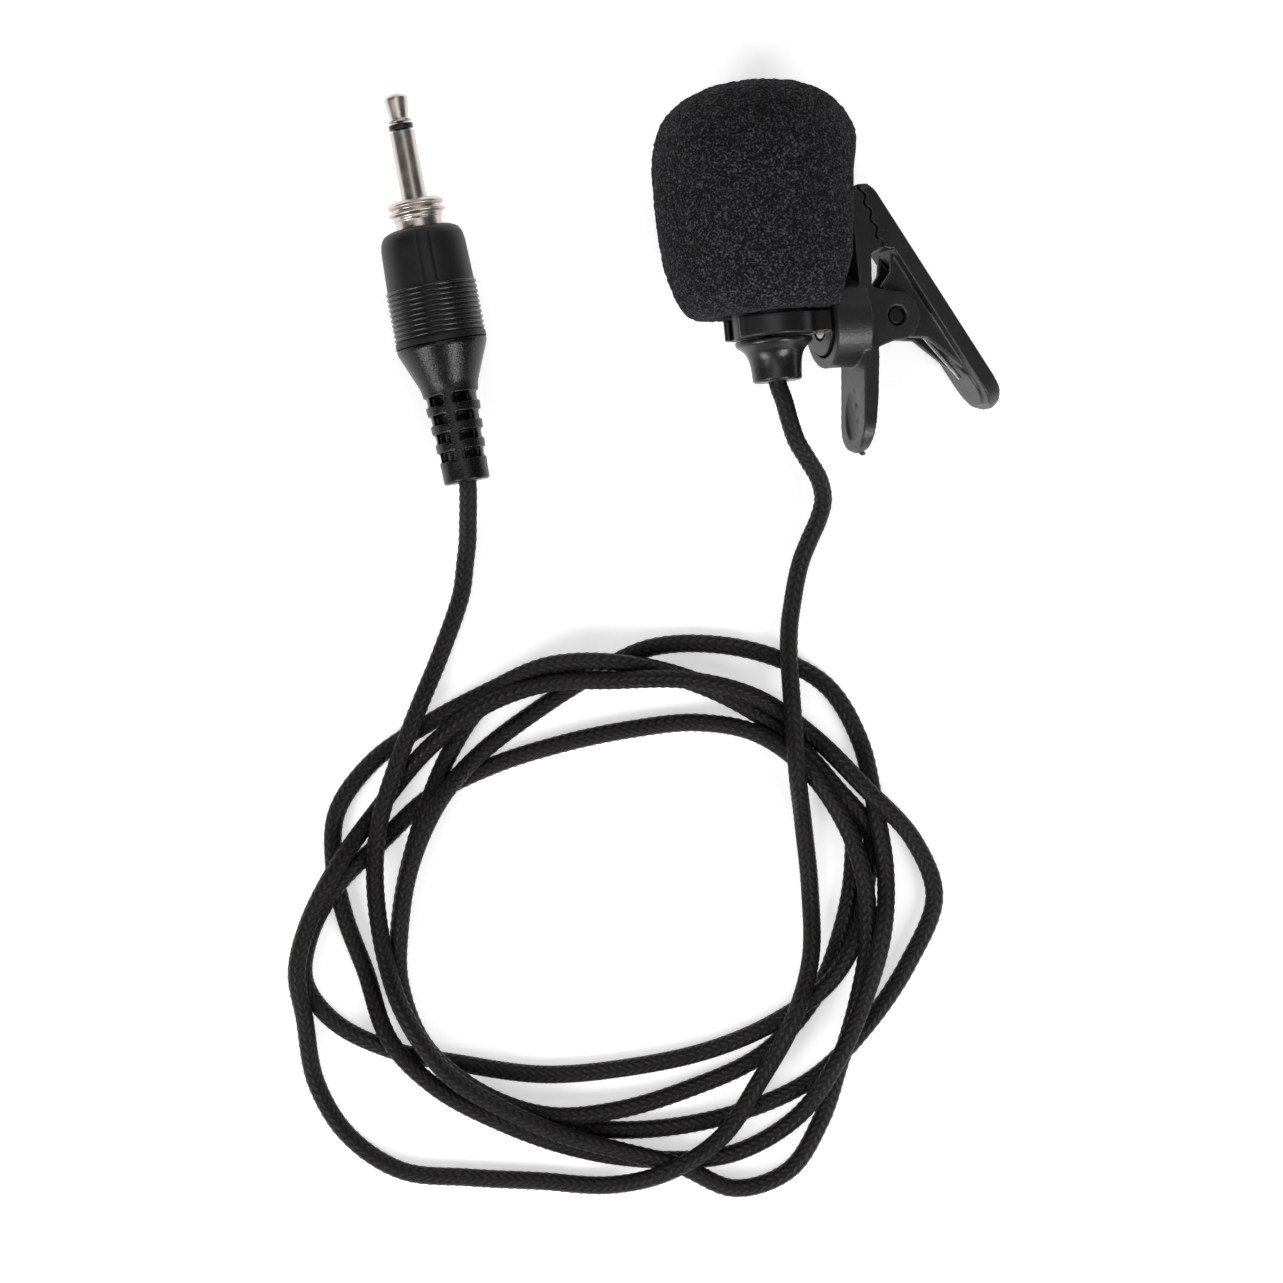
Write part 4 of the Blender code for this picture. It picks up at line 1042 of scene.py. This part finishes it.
# --- Plug: strain relief ----------------------------------------------------------------------
# A soft PVC taper moulded on the lead, slotted from both sides in four rows so that it bends
# evenly. Its cone is grainy where it meets the barrel.
def side_wall(side):
    """The web and thin outer wall that close a slot's side, set in a little from the ribs."""
    taper = turned([(0.0, 0.0), (2.85, 0.0), (3.62, 14.0), (0.0, 14.0)], 64)
    wall = plain_piece("side_wall", taper)
    outer, web = 2.75, 0.8
    keep = [
        (side * 0.3, -web), (side * outer, -web), (side * outer, -6.0), (side * 6.0, -6.0),
        (side * 6.0, 6.0), (side * outer, 6.0), (side * outer, web), (side * 0.3, web),
    ]
    cut(wall, slab(keep, 1.0, 13.5), "INTERSECT")
    return taken_shape(wall)


def taken_shape(piece):
    """The piece's mesh as a bmesh, with the piece itself removed."""
    shape = bmesh.new()
    shape.from_mesh(piece.data)
    bpy.data.objects.remove(piece)
    return shape


def build_relief():
    relief_top, cone_top = 13.3, 19.6
    line = rounded([
        (1.35, 0.0), (3.1, 0.0), (3.25, 0.25), (3.25, 1.9), (3.95, relief_top - 0.4),
        (4.15, relief_top + 0.5), (5.9, cone_top - 1.6), (6.32, cone_top - 0.6), (6.36, cone_top),
        (2.5, cone_top), (2.5, 17.0), (1.35, 16.0), (1.35, 0.0),
    ], 0.2)[:-1]
    relief = plain_piece("relief", turned(line, 96, closed=True))
    rows, pitch, first, slot_half, spine = 4, 2.62, 3.8, 0.68, 0.65
    roll = Matrix.Rotation(math.radians(-6.0), 4, "Z")
    for row in range(rows):
        middle = first + row * pitch
        for side in (-1, 1):
            outline = [(side * spine, -6.0), (side * 6.0, -6.0), (side * 6.0, 6.0), (side * spine, 6.0)]
            slot_piece = plain_piece("slot", slab(outline, middle - slot_half, middle + slot_half))
            cut(slot_piece, rod(2.3, -1.0, 15.0), "DIFFERENCE")
            cut(slot_piece, side_wall(side), "DIFFERENCE")
            shape = taken_shape(slot_piece)
            shape.transform(roll)
            cut(relief, shape, "DIFFERENCE")
    soften(relief, 0.14, 3)
    pvc = moulded_black("relief_pvc", 0.30, shade=0.0045, grain=0.00030, depth=0.00005, shine=0.34)
    finish_moulding(relief, plug_frame, pvc, "microphone", "soft_pvc", "strain_relief")


build_relief()


# --- Works inside the microphone and the plug ---------------------------------------------------
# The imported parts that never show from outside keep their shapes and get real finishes.
def plain_finish(name, low, high, roughness, metallic=0.0, grain=0.0004, depth=0.00002):
    finish = Finish(name, roughness, metallic)
    lumps = finish.noise(grain, 3.0)
    finish.colour(finish.blend(lumps, low, high))
    finish.rough((lumps - 0.5) * 0.3 + roughness)
    finish.bump(lumps, depth)
    return finish.material


def finish_works():
    finishes = {
        "dust_felt": plain_finish("felt", (0.01, 0.01, 0.01), (0.06, 0.06, 0.06), 0.95, depth=0.0001),
        "electret_capsule": plain_finish("capsule_can", (0.5, 0.5, 0.51), (0.66, 0.66, 0.67), 0.33, 1.0),
        "rubber_sleeve": plain_finish("sleeve_rubber", (0.015, 0.015, 0.015), (0.03, 0.03, 0.03), 0.8),
        "capsule_board": plain_finish("solder_mask", (0.02, 0.10, 0.035), (0.04, 0.18, 0.06), 0.45),
        "cable_clamp": nickel,
        "swivel_rivet": nickel,
        "plug_core": plain_finish("core_black", (0.01, 0.01, 0.01), (0.025, 0.025, 0.025), 0.5),
        "signal_wire": plain_finish("red_insulation", (0.28, 0.02, 0.015), (0.42, 0.04, 0.03), 0.45),
        "ground_wire": plain_finish("black_insulation", (0.01, 0.01, 0.01), (0.03, 0.03, 0.03), 0.45),
        "tip_lead": plain_finish("lead_insulation", (0.28, 0.02, 0.015), (0.42, 0.04, 0.03), 0.45),
        "shield_lead": plain_finish("tinned_strands", (0.45, 0.45, 0.44), (0.62, 0.62, 0.60), 0.4, 1.0),
    }
    for node, material in finishes.items():
        for slot in bpy.data.objects[node].material_slots:
            slot.material = material


finish_works()
